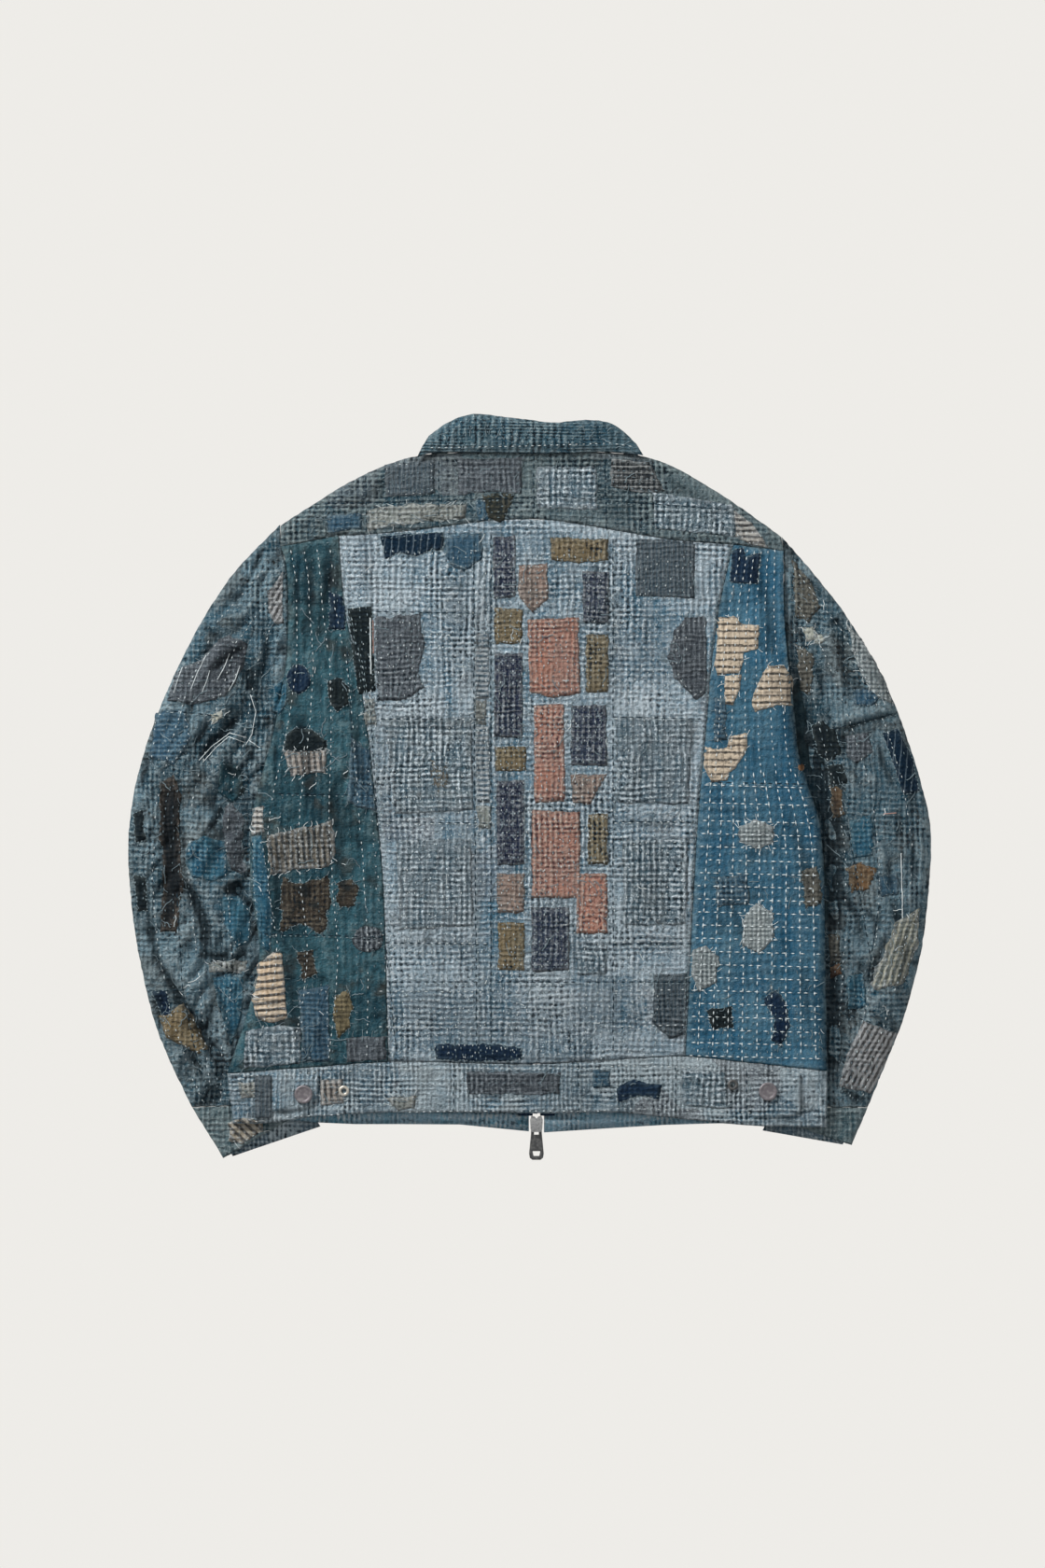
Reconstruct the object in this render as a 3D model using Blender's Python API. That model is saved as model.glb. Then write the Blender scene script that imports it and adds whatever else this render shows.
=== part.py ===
"""A patched boro jacket, laid flat on its front with its back up.

The jacket lies on z = 0.  +Y runs up to the collar, +X to the wearer's right
as the back is seen, and +Z is up from the table.  Every cut piece of cloth is
a thin wall of its own.  Tables are in millimetres.
"""
import bpy
import bmesh
from math import cos, sin, pi, hypot, exp
from mathutils import Vector
from mathutils.bvhtree import BVHTree

MM = 0.001
CLOTH = 2.3          # quilted cloth, lining and patch together
THIN = 1.0           # one layer of cloth: zip tapes and patches
SEAM = 0.2           # each piece stops this far short of a shared seam
LIE = 0.35           # clear space under a piece that lies on another
TURN = 6.0           # how far in a folded edge rolls under
LIFT = 5.4           # the body's edge lies over a sleeve's two layers
MID = 6.0            # x of the front opening and its zip
CENTRE = (0.6, 0.94)  # moves the finished jacket's outline onto the origin

# outlines, (x, y) in mm
YOKE_TOP = [(-231, 241), (-201, 260), (-175, 277), (-140, 295), (-105, 306), (-50, 309), (3, 309),
            (54, 309), (105, 306), (135, 295), (165, 277), (192, 260), (215, 243), (233, 230)]
YOKE_SEAM = [(-231, 221), (-177, 231), (-134, 233), (-83, 239), (-33, 246), (20, 246), (74, 237),
             (131, 227), (188, 223), (235, 217)]
BACK_SEAM_LEFT = [(-177, 231), (-172, 161), (-159, 111), (-148, 35), (-143, -14), (-137, -70),
                  (-134, -133), (-131, -255)]
BACK_SEAM_RIGHT = [(188, 223), (175, 167), (167, 105), (162, 40), (157, -7), (152, -85),
                   (148, -163), (144, -250)]
ARMHOLE_LEFT = [(-231, 221), (-224, 200), (-224, 122), (-233, 70), (-238, 44)]
ARMHOLE_RIGHT = [(235, 217), (235, 191), (235, 152), (238, 121), (243, 83)]
SIDE_LEFT = [(-238, 44), (-246, 19), (-259, -33), (-259, -94), (-249, -154), (-257, -197),
             (-271, -240), (-280, -266)]
SIDE_RIGHT = [(243, 83), (246, 53), (249, 23), (257, 1), (268, -31), (272, -68), (273, -137),
              (274, -214), (275, -264)]
WAIST_TOP = [(-280, -266), (-131, -255), (2, -258), (144, -250), (275, -264)]
WAIST_LOW = [(-274, -312), (-240, -313), (-205, -306), (-134, -302), (8, -303), (79, -302),
             (148, -309), (209, -315), (274, -316)]
HEM_LEFT = [(-273, -308), (-214, -309), (-188, -313), (-59, -314), (-24, -318), (-1, -320)]
HEM_RIGHT = [(13, -321), (62, -318), (97, -316), (148, -313), (209, -312), (273, -312)]
NECK_FRONT_LEFT = [(-101, 298), (-76, 269), (-37, 247), (-1, 240)]
NECK_FRONT_RIGHT = [(13, 240), (49, 247), (84, 269), (103, 298)]
FALL_TOP = [(-95, 322), (-85, 331), (-68, 341), (-49, 345), (-24, 341), (4, 338), (22, 335),
            (48, 339), (75, 337), (87, 328), (97, 318)]
FALL_LOW = [(-105, 303), (-92, 308), (-50, 308), (-4, 307), (31, 307), (75, 309), (105, 305)]

# each sleeve from shoulder to mouth: outer edge x, y and inner edge x, y
SLEEVE_LEFT = [(-231, 241, -238, 44), (-273, 200, -240, 10), (-306, 150, -242, -23),
               (-333, 96, -243, -55), (-354, 44, -243, -85), (-368, -7, -242, -115),
               (-373, -55, -239, -141), (-371, -94, -236, -167), (-366, -137, -231, -193),
               (-358, -180, -226, -219), (-347, -223, -218, -249), (-331, -262, -209, -275),
               (-313, -298, -198, -294)]
SLEEVE_RIGHT = [(233, 230, 243, 83), (267, 191, 243, 36), (294, 157, 250, -7), (318, 117, 257, -42),
                (337, 79, 261, -72), (351, 40, 262, -102), (363, 1, 263, -128), (371, -33, 263, -150),
                (372, -68, 261, -176), (369, -102, 259, -197), (365, -141, 254, -219),
                (357, -180, 246, -240), (344, -223, 236, -262), (329, -258, 228, -279),
                (313, -298, 217, -298)]
# mouth of each cuff: outer x, y and inner x, y, of the upper and the under layer
MOUTH = {
    "left": ((-284, -345, -212, -303), (-283, -346, -186, -313)),
    "right": ((298, -333, 214, -304), (298, -334, 207, -318)),
}

# large folds: from x, y to x, y, rise in mm (minus for a valley), half width
FOLDS = [
    (-341, 6, -321, -102, -3.0, 12), (-352, 40, -300, -60, 2.5, 16),
    (-324, -60, -296, -170, -2.5, 11), (-300, -20, -276, -110, 3.5, 15),
    (-316, -215, -290, -262, -3.0, 12), (-350, -150, -300, -215, 2.5, 16),
    (-300, 130, -330, 60, 2.5, 16), (-262, 190, -275, 90, -2.0, 14),
    (-290, -100, -262, -150, 3.0, 14),
    (262, 175, 300, 90, 2.0, 16), (300, 66, 352, 58, -2.5, 12), (330, 60, 352, -40, 2.5, 16),
    (300, 20, 330, -90, 3.0, 17), (352, -60, 340, -170, 2.5, 15), (318, -110, 300, -200, -2.0, 14),
    (308, -205, 330, -250, 2.5, 14),
    (-210, 205, -190, 110, 2.0, 13), (-192, 210, -178, 120, -1.6, 11), (-236, 30, -200, -40, 1.6, 16),
    (215, 200, 222, 90, 1.6, 14), (230, 60, 200, -30, 1.4, 18),
    (-60, 180, -40, -60, 1.2, 30), (100, 120, 110, -120, 1.0, 34), (-100, -120, 60, -190, 0.9, 30),
]

# thick patches sewn on the back: name, colour, material slot of looks, corners in mm
PATCHES = [
    ("patch_left_arch", "ticking", [(-227, 54), (-188, 54), (-186, 12), (-226, 14)]),
    ("patch_left_stripe", "ticking", [(-243, -34), (-180, -34), (-182, -82), (-240, -80)]),
    ("patch_left_roll", "ticking", [(-226, -118), (-166, -140), (-172, -176), (-224, -190)]),
    ("patch_right_top", "ticking", [(172, 158), (211, 150), (207, 108), (176, 105)]),
    ("patch_right_edge", "ticking", [(213, 114), (238, 108), (240, 68), (206, 68)]),
    ("patch_right_low", "ticking", [(164, 48), (200, 50), (196, 10), (163, 5)]),
    ("panel_scraps_top", "salmon", [(-38, 228), (74, 226), (76, 82), (-36, 80)]),
    ("panel_scraps_mid", "indigo", [(-36, 78), (76, 80), (76, -62), (-34, -62)]),
    ("panel_scraps_low", "salmon", [(-34, -64), (76, -64), (74, -180), (-33, -178)]),
    ("patch_sleeve_left", "grey", [(-305, 132), (-270, 143), (-258, 84), (-312, 70)]),
    ("patch_sleeve_right", "indigo", [(320, 48), (344, 34), (352, -6), (328, -6)]),
]
# stiff tabs on the waistband: name, corners in mm
TABS = [
    ("loop_left", [(-254, -268), (-239, -268), (-239, -307), (-254, -307)]),
    ("tab_left", [(-238, -267), (-195, -267), (-195, -300), (-238, -300)]),
    ("tab_right", [(207, -270), (250, -267), (250, -306), (207, -307)]),
]
BUTTON = {"left": (-209.1, -285.0), "right": (219.7, -282.4)}
BUTTON_D = 17.0
EYELET = {"left": (-172.0, -282.1), "right": (187.3, -276.4)}
EYELET_D = 10.0
SLIDER_Y = {"bottom": -313.2, "top": 226.0}
SLIDER_W = 11.8
SLIDER_L = 14.6
PULL_LONG = 30.5
PULL_WIDE = 13.6


def mat(name, colour, rough, metal=0.0):
    m = bpy.data.materials.get(name) or bpy.data.materials.new(name)
    m.use_nodes = True
    p = m.node_tree.nodes["Principled BSDF"]
    p.inputs["Base Color"].default_value = (*colour, 1)
    p.inputs["Roughness"].default_value = rough
    p.inputs["Metallic"].default_value = metal
    m.diffuse_color = (*colour, 1)
    return m


COLOURS = {
    "teal": (0.075, 0.14, 0.17), "gauze": (0.17, 0.22, 0.25), "indigo": (0.02, 0.04, 0.09),
    "grey": (0.16, 0.17, 0.17), "ticking": (0.42, 0.36, 0.28), "salmon": (0.5, 0.27, 0.2),
    "tape": (0.02, 0.025, 0.03),
}


def cloth(name):
    return mat("cloth_" + name, COLOURS[name], 0.92)


def clear_scene():
    for ob in list(bpy.data.objects):
        bpy.data.objects.remove(ob, do_unlink=True)


def add(name, bm, material, smooth=False):
    bmesh.ops.recalc_face_normals(bm, faces=bm.faces)
    me = bpy.data.meshes.new(name)
    bm.to_mesh(me)
    bm.free()
    me.materials.append(material)
    if smooth:
        me.shade_smooth()
        me.set_sharp_from_angle(angle=0.7)
    ob = bpy.data.objects.new(name, me)
    bpy.context.scene.collection.objects.link(ob)
    return ob


# plan geometry

def ramp(a):
    a = max(0.0, min(1.0, a))
    return a * a * (3 - 2 * a)


def along(line, fractions):
    """Points at these fractions of a polyline's length."""
    legs = [hypot(b[0] - a[0], b[1] - a[1]) for a, b in zip(line, line[1:])]
    out = []
    for f in fractions:
        d = f * sum(legs)
        for k, leg in enumerate(legs):
            if d <= leg or k == len(legs) - 1:
                t = min(1.0, d / leg)
                a, b = line[k], line[k + 1]
                out.append((a[0] + (b[0] - a[0]) * t, a[1] + (b[1] - a[1]) * t))
                break
            d -= leg
    return out


def even(n):
    return [i / n for i in range(n + 1)]


def coons(top, bottom, left, right):
    """Fill four sampled edges with a grid of plan points, rows from the top."""
    rows, cols = len(left) - 1, len(top) - 1
    grid = []
    for i in range(rows + 1):
        v, row = i / rows, []
        for j in range(cols + 1):
            u = hypot(top[j][0] - top[0][0], top[j][1] - top[0][1])
            u /= hypot(top[-1][0] - top[0][0], top[-1][1] - top[0][1])
            w = (1 - u) * (1 - v), u * (1 - v), (1 - u) * v, u * v
            c = top[0], top[-1], bottom[0], bottom[-1]
            row.append(tuple(
                (1 - v) * top[j][k] + v * bottom[j][k] + (1 - u) * left[i][k] + u * right[i][k]
                - sum(a * b[k] for a, b in zip(w, c)) for k in (0, 1)))
        grid.append(row)
    return grid


def toward(a, b, d):
    s = hypot(b[0] - a[0], b[1] - a[1])
    return (a[0] + (b[0] - a[0]) * d / s, a[1] + (b[1] - a[1]) * d / s)


def draw_in(grid, top=0, bottom=0, left=0, right=0):
    """Move a grid's edge points in toward their neighbours."""
    g = [list(r) for r in grid]
    for r in g:
        r[0] = toward(r[0], r[1], left) if left else r[0]
        r[-1] = toward(r[-1], r[-2], right) if right else r[-1]
    for j in range(len(g[0])):
        g[0][j] = toward(g[0][j], g[1][j], top) if top else g[0][j]
        g[-1][j] = toward(g[-1][j], g[-2][j], bottom) if bottom else g[-1][j]
    return g


def from_line(p, line):
    best = 1e9
    for a, b in zip(line, line[1:]):
        dx, dy = b[0] - a[0], b[1] - a[1]
        t = ((p[0] - a[0]) * dx + (p[1] - a[1]) * dy) / (dx * dx + dy * dy)
        t = max(0.0, min(1.0, t))
        best = min(best, hypot(p[0] - a[0] - dx * t, p[1] - a[1] - dy * t))
    return best


def outside(p, ring):
    """Distance to a closed outline, minus inside it."""
    d = from_line(p, ring + ring[:1])
    inside = False
    for a, b in zip(ring, ring[1:] + ring[:1]):
        if (a[1] > p[1]) != (b[1] > p[1]):
            if p[0] < a[0] + (p[1] - a[1]) * (b[0] - a[0]) / (b[1] - a[1]):
                inside = not inside
    return -d if inside else d


def sleeve_ring(stations, side):
    outer = [s[:2] for s in stations] + [MOUTH[side][1][:2]]
    inner = [s[2:] for s in stations] + [MOUTH[side][1][2:]]
    return outer + inner[::-1]


RINGS = {"left": sleeve_ring(SLEEVE_LEFT, "left"), "right": sleeve_ring(SLEEVE_RIGHT, "right")}
BODY = (ARMHOLE_LEFT + SIDE_LEFT[1:] + WAIST_LOW + SIDE_RIGHT[:0:-1] + ARMHOLE_RIGHT[::-1]
        + YOKE_TOP[::-1])


# how high each layer lies

def folds(p):
    h = 0.0
    for x0, y0, x1, y1, rise, half in FOLDS:
        dx, dy = x1 - x0, y1 - y0
        t = ((p[0] - x0) * dx + (p[1] - y0) * dy) / (dx * dx + dy * dy)
        if -0.3 < t < 1.3:
            c = max(0.0, min(1.0, t))
            d = hypot(p[0] - x0 - dx * c, p[1] - y0 - dy * c)
            h += rise * exp(-(d / half) ** 2)
    return h


def over_sleeves(p):
    """Rise of the body where its edge lies over a sleeve, from the armhole down."""
    side = "left" if p[0] < 0 else "right"
    low = 44 if side == "left" else 83
    s = outside(p, RINGS[side])
    return LIFT * (1 - ramp((s - 18) / 80)) * ramp((221 - p[1]) / (186 - low))


def over_sliders(p):
    """Rise of the fronts that lets each slider and its pull lie under them."""
    x = 1 - ramp((abs(p[0] - MID) - 20) / 70)
    low = 1 - ramp((p[1] + 285) / 110)
    high = ramp((p[1] - 70) / 110) * (1 - ramp((p[1] - 243) / 50))
    return 3.5 * x * max(low, high)


def front_low(p):
    return max(over_sleeves(p), over_sliders(p))


def edge_roll(p):
    side = SIDE_LEFT if p[0] < 0 else SIDE_RIGHT
    d = from_line(p, side)
    below = ramp((side[0][1] + 8 - p[1]) / 30)
    swell = 3.2 * exp(-((d - 11) / 9) ** 2)
    return below * (swell - 2.6 * (1 - min(1.0, d / TURN)) ** 2)


def back_low(p):
    lift = over_sleeves(p)
    z = front_low(p) + 3.5 + 0.9 * (1 - lift / LIFT) + edge_roll(p)
    calm = ramp(outside(p, RINGS["left"]) / 30) * ramp(outside(p, RINGS["right"]) / 30)
    return z + max(0.0, folds(p)) * (0.35 + 0.65 * calm)


def yoke_low(p):
    z = back_low(p)
    if abs(p[0]) > 106 or p[1] < 290:
        d = from_line(p, YOKE_TOP[:5] if p[0] < 0 else YOKE_TOP[8:])
        z -= 3.3 * (1 - min(1.0, d / TURN)) ** 2
    return z


def sleeve_low(p, side):
    stations = SLEEVE_LEFT if side == "left" else SLEEVE_RIGHT
    outer = [s[:2] for s in stations] + [MOUTH[side][0][:2]]
    inner = [s[2:] for s in stations]
    out = from_line(p, outer)
    body = outside(p, BODY)
    free = ramp((body - 14) / 36)
    puff = 5.0 * free * ramp((out + 6) / 30)
    bend = folds(p) * ramp((body - 8) / 24) * ramp(out / 12)
    z = max(2.7, 2.7 + puff + bend)
    roll = min(out, from_line(p, inner[1:]))
    from_tip = hypot(p[0] - outer[0][0], p[1] - outer[0][1])
    return z - 2.1 * (1 - min(1.0, roll / TURN)) ** 2 * ramp((from_tip - 25) / 80)


def fall_low(p):
    d = from_line(p, FALL_TOP)
    return 7.05 + 1.6 * exp(-((d - 11) / 7) ** 2) - 4.4 * (1 - min(1.0, d / 7)) ** 2


# solids

def wall(name, grid, low, thick, material):
    """A closed wall: under face at low(point), outer face a thickness above."""
    bm = bmesh.new()
    faces = []
    layers = []
    for up in (0, 1):
        layers.append([[bm.verts.new(Vector((x, y, low((x, y)) + up * thick)) * MM)
                        for x, y in row] for row in grid])
    rows, cols = len(grid) - 1, len(grid[0]) - 1
    for n, lay in enumerate(layers):
        for i in range(rows):
            for j in range(cols):
                a, b, c, d = lay[i][j], lay[i][j + 1], lay[i + 1][j + 1], lay[i + 1][j]
                faces += [(a, b, c), (a, c, d)]
    rim = [(0, j) for j in range(cols)] + [(i, cols) for i in range(rows)]
    rim += [(rows, j) for j in range(cols, 0, -1)] + [(i, 0) for i in range(rows, 0, -1)]
    for (i, j), (k, m) in zip(rim, rim[1:] + rim[:1]):
        a, b = layers[0][i][j], layers[0][k][m]
        c, d = layers[1][k][m], layers[1][i][j]
        faces += [(a, b, c), (a, c, d)]
    for f in faces:
        bm.faces.new(f)
    return add(name, bm, material)


def tops(*objects):
    """Look down on finished pieces: the height of the highest under a point."""
    trees = [BVHTree.FromPolygons([v.co.copy() for v in o.data.vertices],
                                  [tuple(f.vertices) for f in o.data.polygons]) for o in objects]

    def height(p, reach=0.0):
        best = 0.0
        spots = [(0, 0)] + [(reach * cos(k * pi / 4), reach * sin(k * pi / 4)) for k in range(8)]
        for sx, sy in (spots if reach else spots[:1]):
            for t in trees:
                hit = t.ray_cast(Vector(((p[0] + sx) * MM, (p[1] + sy) * MM, 0.1)), Vector((0, 0, -1)))
                if hit[0] is not None:
                    best = max(best, hit[0].z / MM)
        return best
    return height


def laid_on(name, corners, under, cell, thick, material):
    """A sewn-on piece made from the surface below it, a little above it."""
    a, b, c, d = corners
    cols = max(1, round(max(hypot(b[0] - a[0], b[1] - a[1]), hypot(c[0] - d[0], c[1] - d[1])) / cell))
    rows = max(1, round(hypot(d[0] - a[0], d[1] - a[1]) / cell))
    grid = coons(along([a, b], even(cols)), along([d, c], even(cols)),
                 along([a, d], even(rows)), along([b, c], even(rows)))
    return wall(name, grid, lambda p: under(p, cell * 0.75) + LIE, thick, material)


def turned(name, centre, z, profile, segments, material):
    """A closed ring or disc turned about an upright axis: (radius, height) points."""
    bm = bmesh.new()
    rings = []
    for r, h in profile:
        if r == 0:
            rings.append([bm.verts.new(Vector((centre[0], centre[1], z + h)) * MM)])
        else:
            rings.append([bm.verts.new(Vector((centre[0] + r * cos(2 * pi * k / segments),
                                               centre[1] + r * sin(2 * pi * k / segments),
                                               z + h)) * MM) for k in range(segments)])
    pairs = list(zip(rings, rings[1:]))
    if profile[0][0] and profile[-1][0]:
        pairs.append((rings[-1], rings[0]))
    for lo, hi in pairs:
        for k in range(segments):
            m = (k + 1) % segments
            if len(lo) == 1:
                bm.faces.new((lo[0], hi[k], hi[m]))
            elif len(hi) == 1:
                bm.faces.new((lo[k], lo[m], hi[0]))
            else:
                bm.faces.new((lo[k], lo[m], hi[m], hi[k]))
    return add(name, bm, material, smooth=True)


def block(bm, x0, x1, y0, y1, z0, z1):
    v = [bm.verts.new(Vector((x, y, z)) * MM) for z in (z0, z1) for y in (y0, y1) for x in (x0, x1)]
    for f in ((0, 1, 3, 2), (4, 5, 7, 6), (0, 1, 5, 4), (2, 3, 7, 6), (0, 2, 6, 4), (1, 3, 7, 5)):
        bm.faces.new([v[k] for k in f])


def extruded(outline, z0, z1):
    bm = bmesh.new()
    n = len(outline)
    lo = [bm.verts.new(Vector((x, y, z0)) * MM) for x, y in outline]
    hi = [bm.verts.new(Vector((x, y, z1)) * MM) for x, y in outline]
    bm.faces.new(lo)
    bm.faces.new(hi)
    for k in range(n):
        bm.faces.new((lo[k], lo[(k + 1) % n], hi[(k + 1) % n], hi[k]))
    return bm


# the back

ROWS = 25
COLS_SIDE = [0, 0.06, 0.2, 0.4, 0.6, 0.8, 1]
COLS_MID = even(13)


def side_edge(armhole, side, k):
    return along(armhole, even(k)) + along(side, even(ROWS - k))[1:]


def back_panels():
    seam = {"left": along(BACK_SEAM_LEFT, even(ROWS)), "right": along(BACK_SEAM_RIGHT, even(ROWS))}
    edge = {"left": side_edge(ARMHOLE_LEFT, SIDE_LEFT, 9), "right": side_edge(ARMHOLE_RIGHT, SIDE_RIGHT, 7)}
    tops_, lows = [], []
    spans = [(YOKE_SEAM[:2], WAIST_TOP[:2], COLS_SIDE),
             (YOKE_SEAM[1:9], WAIST_TOP[1:4], COLS_MID),
             (YOKE_SEAM[8:], WAIST_TOP[3:], [1 - c for c in reversed(COLS_SIDE)])]
    for t, w, cols in spans:
        tops_.append(along(t, cols))
        lows.append(along(w, cols))
    sides = [(edge["left"], seam["left"]), (seam["left"], seam["right"]), (seam["right"], edge["right"])]
    names = ["back_side_left", "back_centre", "back_side_right"]
    looks = ["teal", "gauze", "teal"]
    for n, name in enumerate(names):
        grid = coons(tops_[n], lows[n], *sides[n])
        wall(name, draw_in(grid, SEAM, SEAM, SEAM, SEAM), back_low, CLOTH, cloth(looks[n]))
    join = tops_[0] + tops_[1][1:] + tops_[2][1:]
    hem = lows[0] + lows[1][1:] + lows[2][1:]
    return edge, join, hem


def yoke(join):
    rows = [0, 0.09, 0.36, 0.68, 1]
    n = len(join) - 1
    top = along(YOKE_TOP, even(n))
    left = along([YOKE_TOP[0], YOKE_SEAM[0]], rows)
    right = along([YOKE_TOP[-1], YOKE_SEAM[-1]], rows)
    grid = [[(a[0] + (b[0] - a[0]) * v, a[1] + (b[1] - a[1]) * v) for a, b in zip(top, join)]
            for v in rows]
    for r, a, b in zip(grid, left, right):
        r[0], r[-1] = a, b
    wall("back_yoke", draw_in(grid, 0, SEAM, SEAM, SEAM), yoke_low, CLOTH, cloth("teal"))


def waistband_back(hem):
    n = len(hem) - 1
    low = along(WAIST_LOW, even(n))
    grid = [[(a[0] + (b[0] - a[0]) * v, a[1] + (b[1] - a[1]) * v) for a, b in zip(hem, low)]
            for v in even(3)]
    return wall("waistband_back", draw_in(grid, SEAM), lambda p: back_low(p) + 0.4, CLOTH, cloth("gauze"))


# the fronts, hidden under the back

def fronts(edge):
    cols = [0, 0.03, 0.09, 0.17, 0.27, 0.4, 0.56, 0.76, 1]
    for side, k, neck in (("left", 9, NECK_FRONT_LEFT), ("right", 7, NECK_FRONT_RIGHT)):
        sign = -1 if side == "left" else 1
        e = edge[side]
        line = e[:k + 1] + e[k + 2::2]
        if line[-1] != e[-1]:
            line.append(e[-1])
        line = line[:k + 1] + [toward(p, (0, p[1]), TURN - 1) for p in line[k + 1:]]
        shoulder = YOKE_TOP[:5] if side == "left" else YOKE_TOP[:8:-1] + YOKE_TOP[8:9]
        shoulder = [(x - sign * 1.5, y - TURN) for x, y in shoulder]
        shoulder[0] = toward(e[0], YOKE_TOP[0] if side == "left" else YOKE_TOP[-1], 11)
        neck_line = neck if side == "left" else neck[::-1]
        top = along(shoulder, even(4))[:-1] + along(neck_line, even(4))
        x_mid = MID + sign * 7
        mid = [(x_mid, 240), (x_mid, -262)]
        start = shoulder[0]
        line = [start] + line
        hem_y = [(line[-1]), (x_mid, -262)]
        grid = coons(top, along(hem_y, cols), line, along(mid, even(len(line) - 1)))
        grid = draw_in(grid, 0, SEAM, SEAM, 0)
        wall("front_" + side, grid, front_low, CLOTH - 0.1, cloth("teal"))
        hem = HEM_LEFT if side == "left" else HEM_RIGHT[::-1]
        hem = [(hem[0][0] - sign * 4, hem[0][1])] + hem[1:]
        band = coons(along(hem_y, cols), along(hem, cols),
                     along([hem_y[0], hem[0]], even(2)), along([hem_y[1], hem[-1]], even(2)))
        wall("waistband_front_" + side, draw_in(band, SEAM), front_low, CLOTH - 0.1, cloth("teal"))


# sleeves and cuffs

def sleeve_points(stations, fractions, rows):
    outer = along([s[:2] for s in stations], even(rows))
    inner = along([s[2:] for s in stations], even(rows))
    return [[(a[0] + (b[0] - a[0]) * u, a[1] + (b[1] - a[1]) * u) for u in fractions]
            for a, b in zip(outer, inner)]


def inset_row(row, outer, inner, d):
    """Shorten a row until both its ends stand d clear of the folded edges."""
    a, b = row[0], row[-1]
    s, t = 0.0, 1.0
    while from_line((a[0] + (b[0] - a[0]) * s, a[1] + (b[1] - a[1]) * s), outer) < d and s < 0.3:
        s += 0.005
    while from_line((a[0] + (b[0] - a[0]) * t, a[1] + (b[1] - a[1]) * t), inner) < d and t > 0.7:
        t -= 0.005
    return [(a[0] + (b[0] - a[0]) * f, a[1] + (b[1] - a[1]) * f)
            for f in (s + (t - s) * k / (len(row) - 1) for k in range(len(row)))]


def sleeve(side, edge):
    stations = SLEEVE_LEFT if side == "left" else SLEEVE_RIGHT
    k = 9 if side == "left" else 7
    tip = YOKE_TOP[0] if side == "left" else YOKE_TOP[-1]
    away = -2 * SEAM if side == "left" else 2 * SEAM
    arm = [(x + away, y) for x, y in [tip] + edge[side][:k + 1]]
    n = len(arm) - 1
    inner = [0.13 + 0.74 * i / (n - 4) for i in range(n - 3)]
    wide = [0, 0.035] + inner + [0.965, 1]
    for under in (False, True):
        rows = 11 if under else 21
        u = even(n) if under else wide
        grid = sleeve_points(stations, u, rows)
        if under:
            lines = [s[:2] for s in stations], [s[2:] for s in stations]
            grid = [inset_row(r, *lines, TURN + 2) for r in grid]
        fade = 3.0 if under else 6.0
        first = [p for p in grid[0]]
        for i, row in enumerate(grid):
            w = max(0.0, 1 - i / fade)
            w = w * w
            for j in range(n + 1):
                row[j] = (row[j][0] + (arm[j][0] - first[j][0]) * w,
                          row[j][1] + (arm[j][1] - first[j][1]) * w)
        if under:
            grid[0][0] = toward(grid[0][0], grid[0][1], TURN + 2.5)
        grid = draw_in(grid, 0, SEAM)
        if under:
            wall("sleeve_under_" + side, grid, lambda p: 0.0, CLOTH - 0.1, cloth("teal"))
        else:
            wall("sleeve_" + side, grid, lambda p: sleeve_low(p, side), CLOTH, cloth("teal"))
        end = stations[-1]
        m = MOUTH[side][1 if under else 0]
        rows = 2 if under else 3
        uc = even(n) if under else wide
        top = [(end[0] + (end[2] - end[0]) * f, end[1] + (end[3] - end[1]) * f) for f in uc]
        low = [(m[0] + (m[2] - m[0]) * f, m[1] + (m[3] - m[1]) * f) for f in uc]
        cuff = [[(a[0] + (b[0] - a[0]) * v, a[1] + (b[1] - a[1]) * v) for a, b in zip(top, low)]
                for v in even(rows)]
        if under:
            cuff = [inset_row(r, [end[:2], m[:2]], [end[2:], m[2:]], TURN + 2) for r in cuff]
            cuff = draw_in(cuff, SEAM)
            wall("cuff_under_" + side, cuff, lambda p: 0.0, CLOTH - 0.1, cloth("teal"))
        else:
            cuff = draw_in(cuff, SEAM)
            wall("cuff_" + side, cuff, lambda p: sleeve_low(p, side), CLOTH, cloth("teal"))


# collar

def collar():
    n = 16
    top, low = along(FALL_TOP, even(n)), along(FALL_LOW, even(n))
    rows = [0, 0.14, 0.32, 0.66, 1]
    grid = [[(a[0] + (b[0] - a[0]) * v, a[1] + (b[1] - a[1]) * v) for a, b in zip(top, low)]
            for v in rows]
    wall("collar_fall", grid, fall_low, CLOTH, cloth("gauze"))
    neck = along(YOKE_TOP, even(200))
    neck = [p for p in neck if abs(p[0]) < 101]
    line = along(neck, even(12))
    over = along([(-88, 318), (-62, 331), (20, 327), (74, 329), (89, 318)], even(12))
    stand = [[(a[0] + (b[0] - a[0]) * v, a[1] + 2 * SEAM + (b[1] - a[1]) * v) for a, b in zip(line, over)]
             for v in even(2)]
    wall("collar_stand", stand, lambda p: min(back_low(p), 6.1), 2.0, cloth("gauze"))
    for side, neck in (("left", NECK_FRONT_LEFT), ("right", NECK_FRONT_RIGHT)):
        sign = -1 if side == "left" else 1
        up = [(MID + sign * 92, 312), (MID + sign * 70, 303), (MID + sign * 37, 284), (MID + sign * 7, 276)]
        if side == "right":
            up = up[::-1]
        a, b = along(up, even(4)), along(neck, even(4))
        half = [[(p[0] + (q[0] - p[0]) * v, p[1] + (q[1] + 3 * SEAM - p[1]) * v) for p, q in zip(a, b)]
                for v in even(2)]
        wall("collar_front_" + side, half, lambda p: 0.0, CLOTH - 0.1, cloth("gauze"))


# zip, buttons and eyelets

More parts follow.
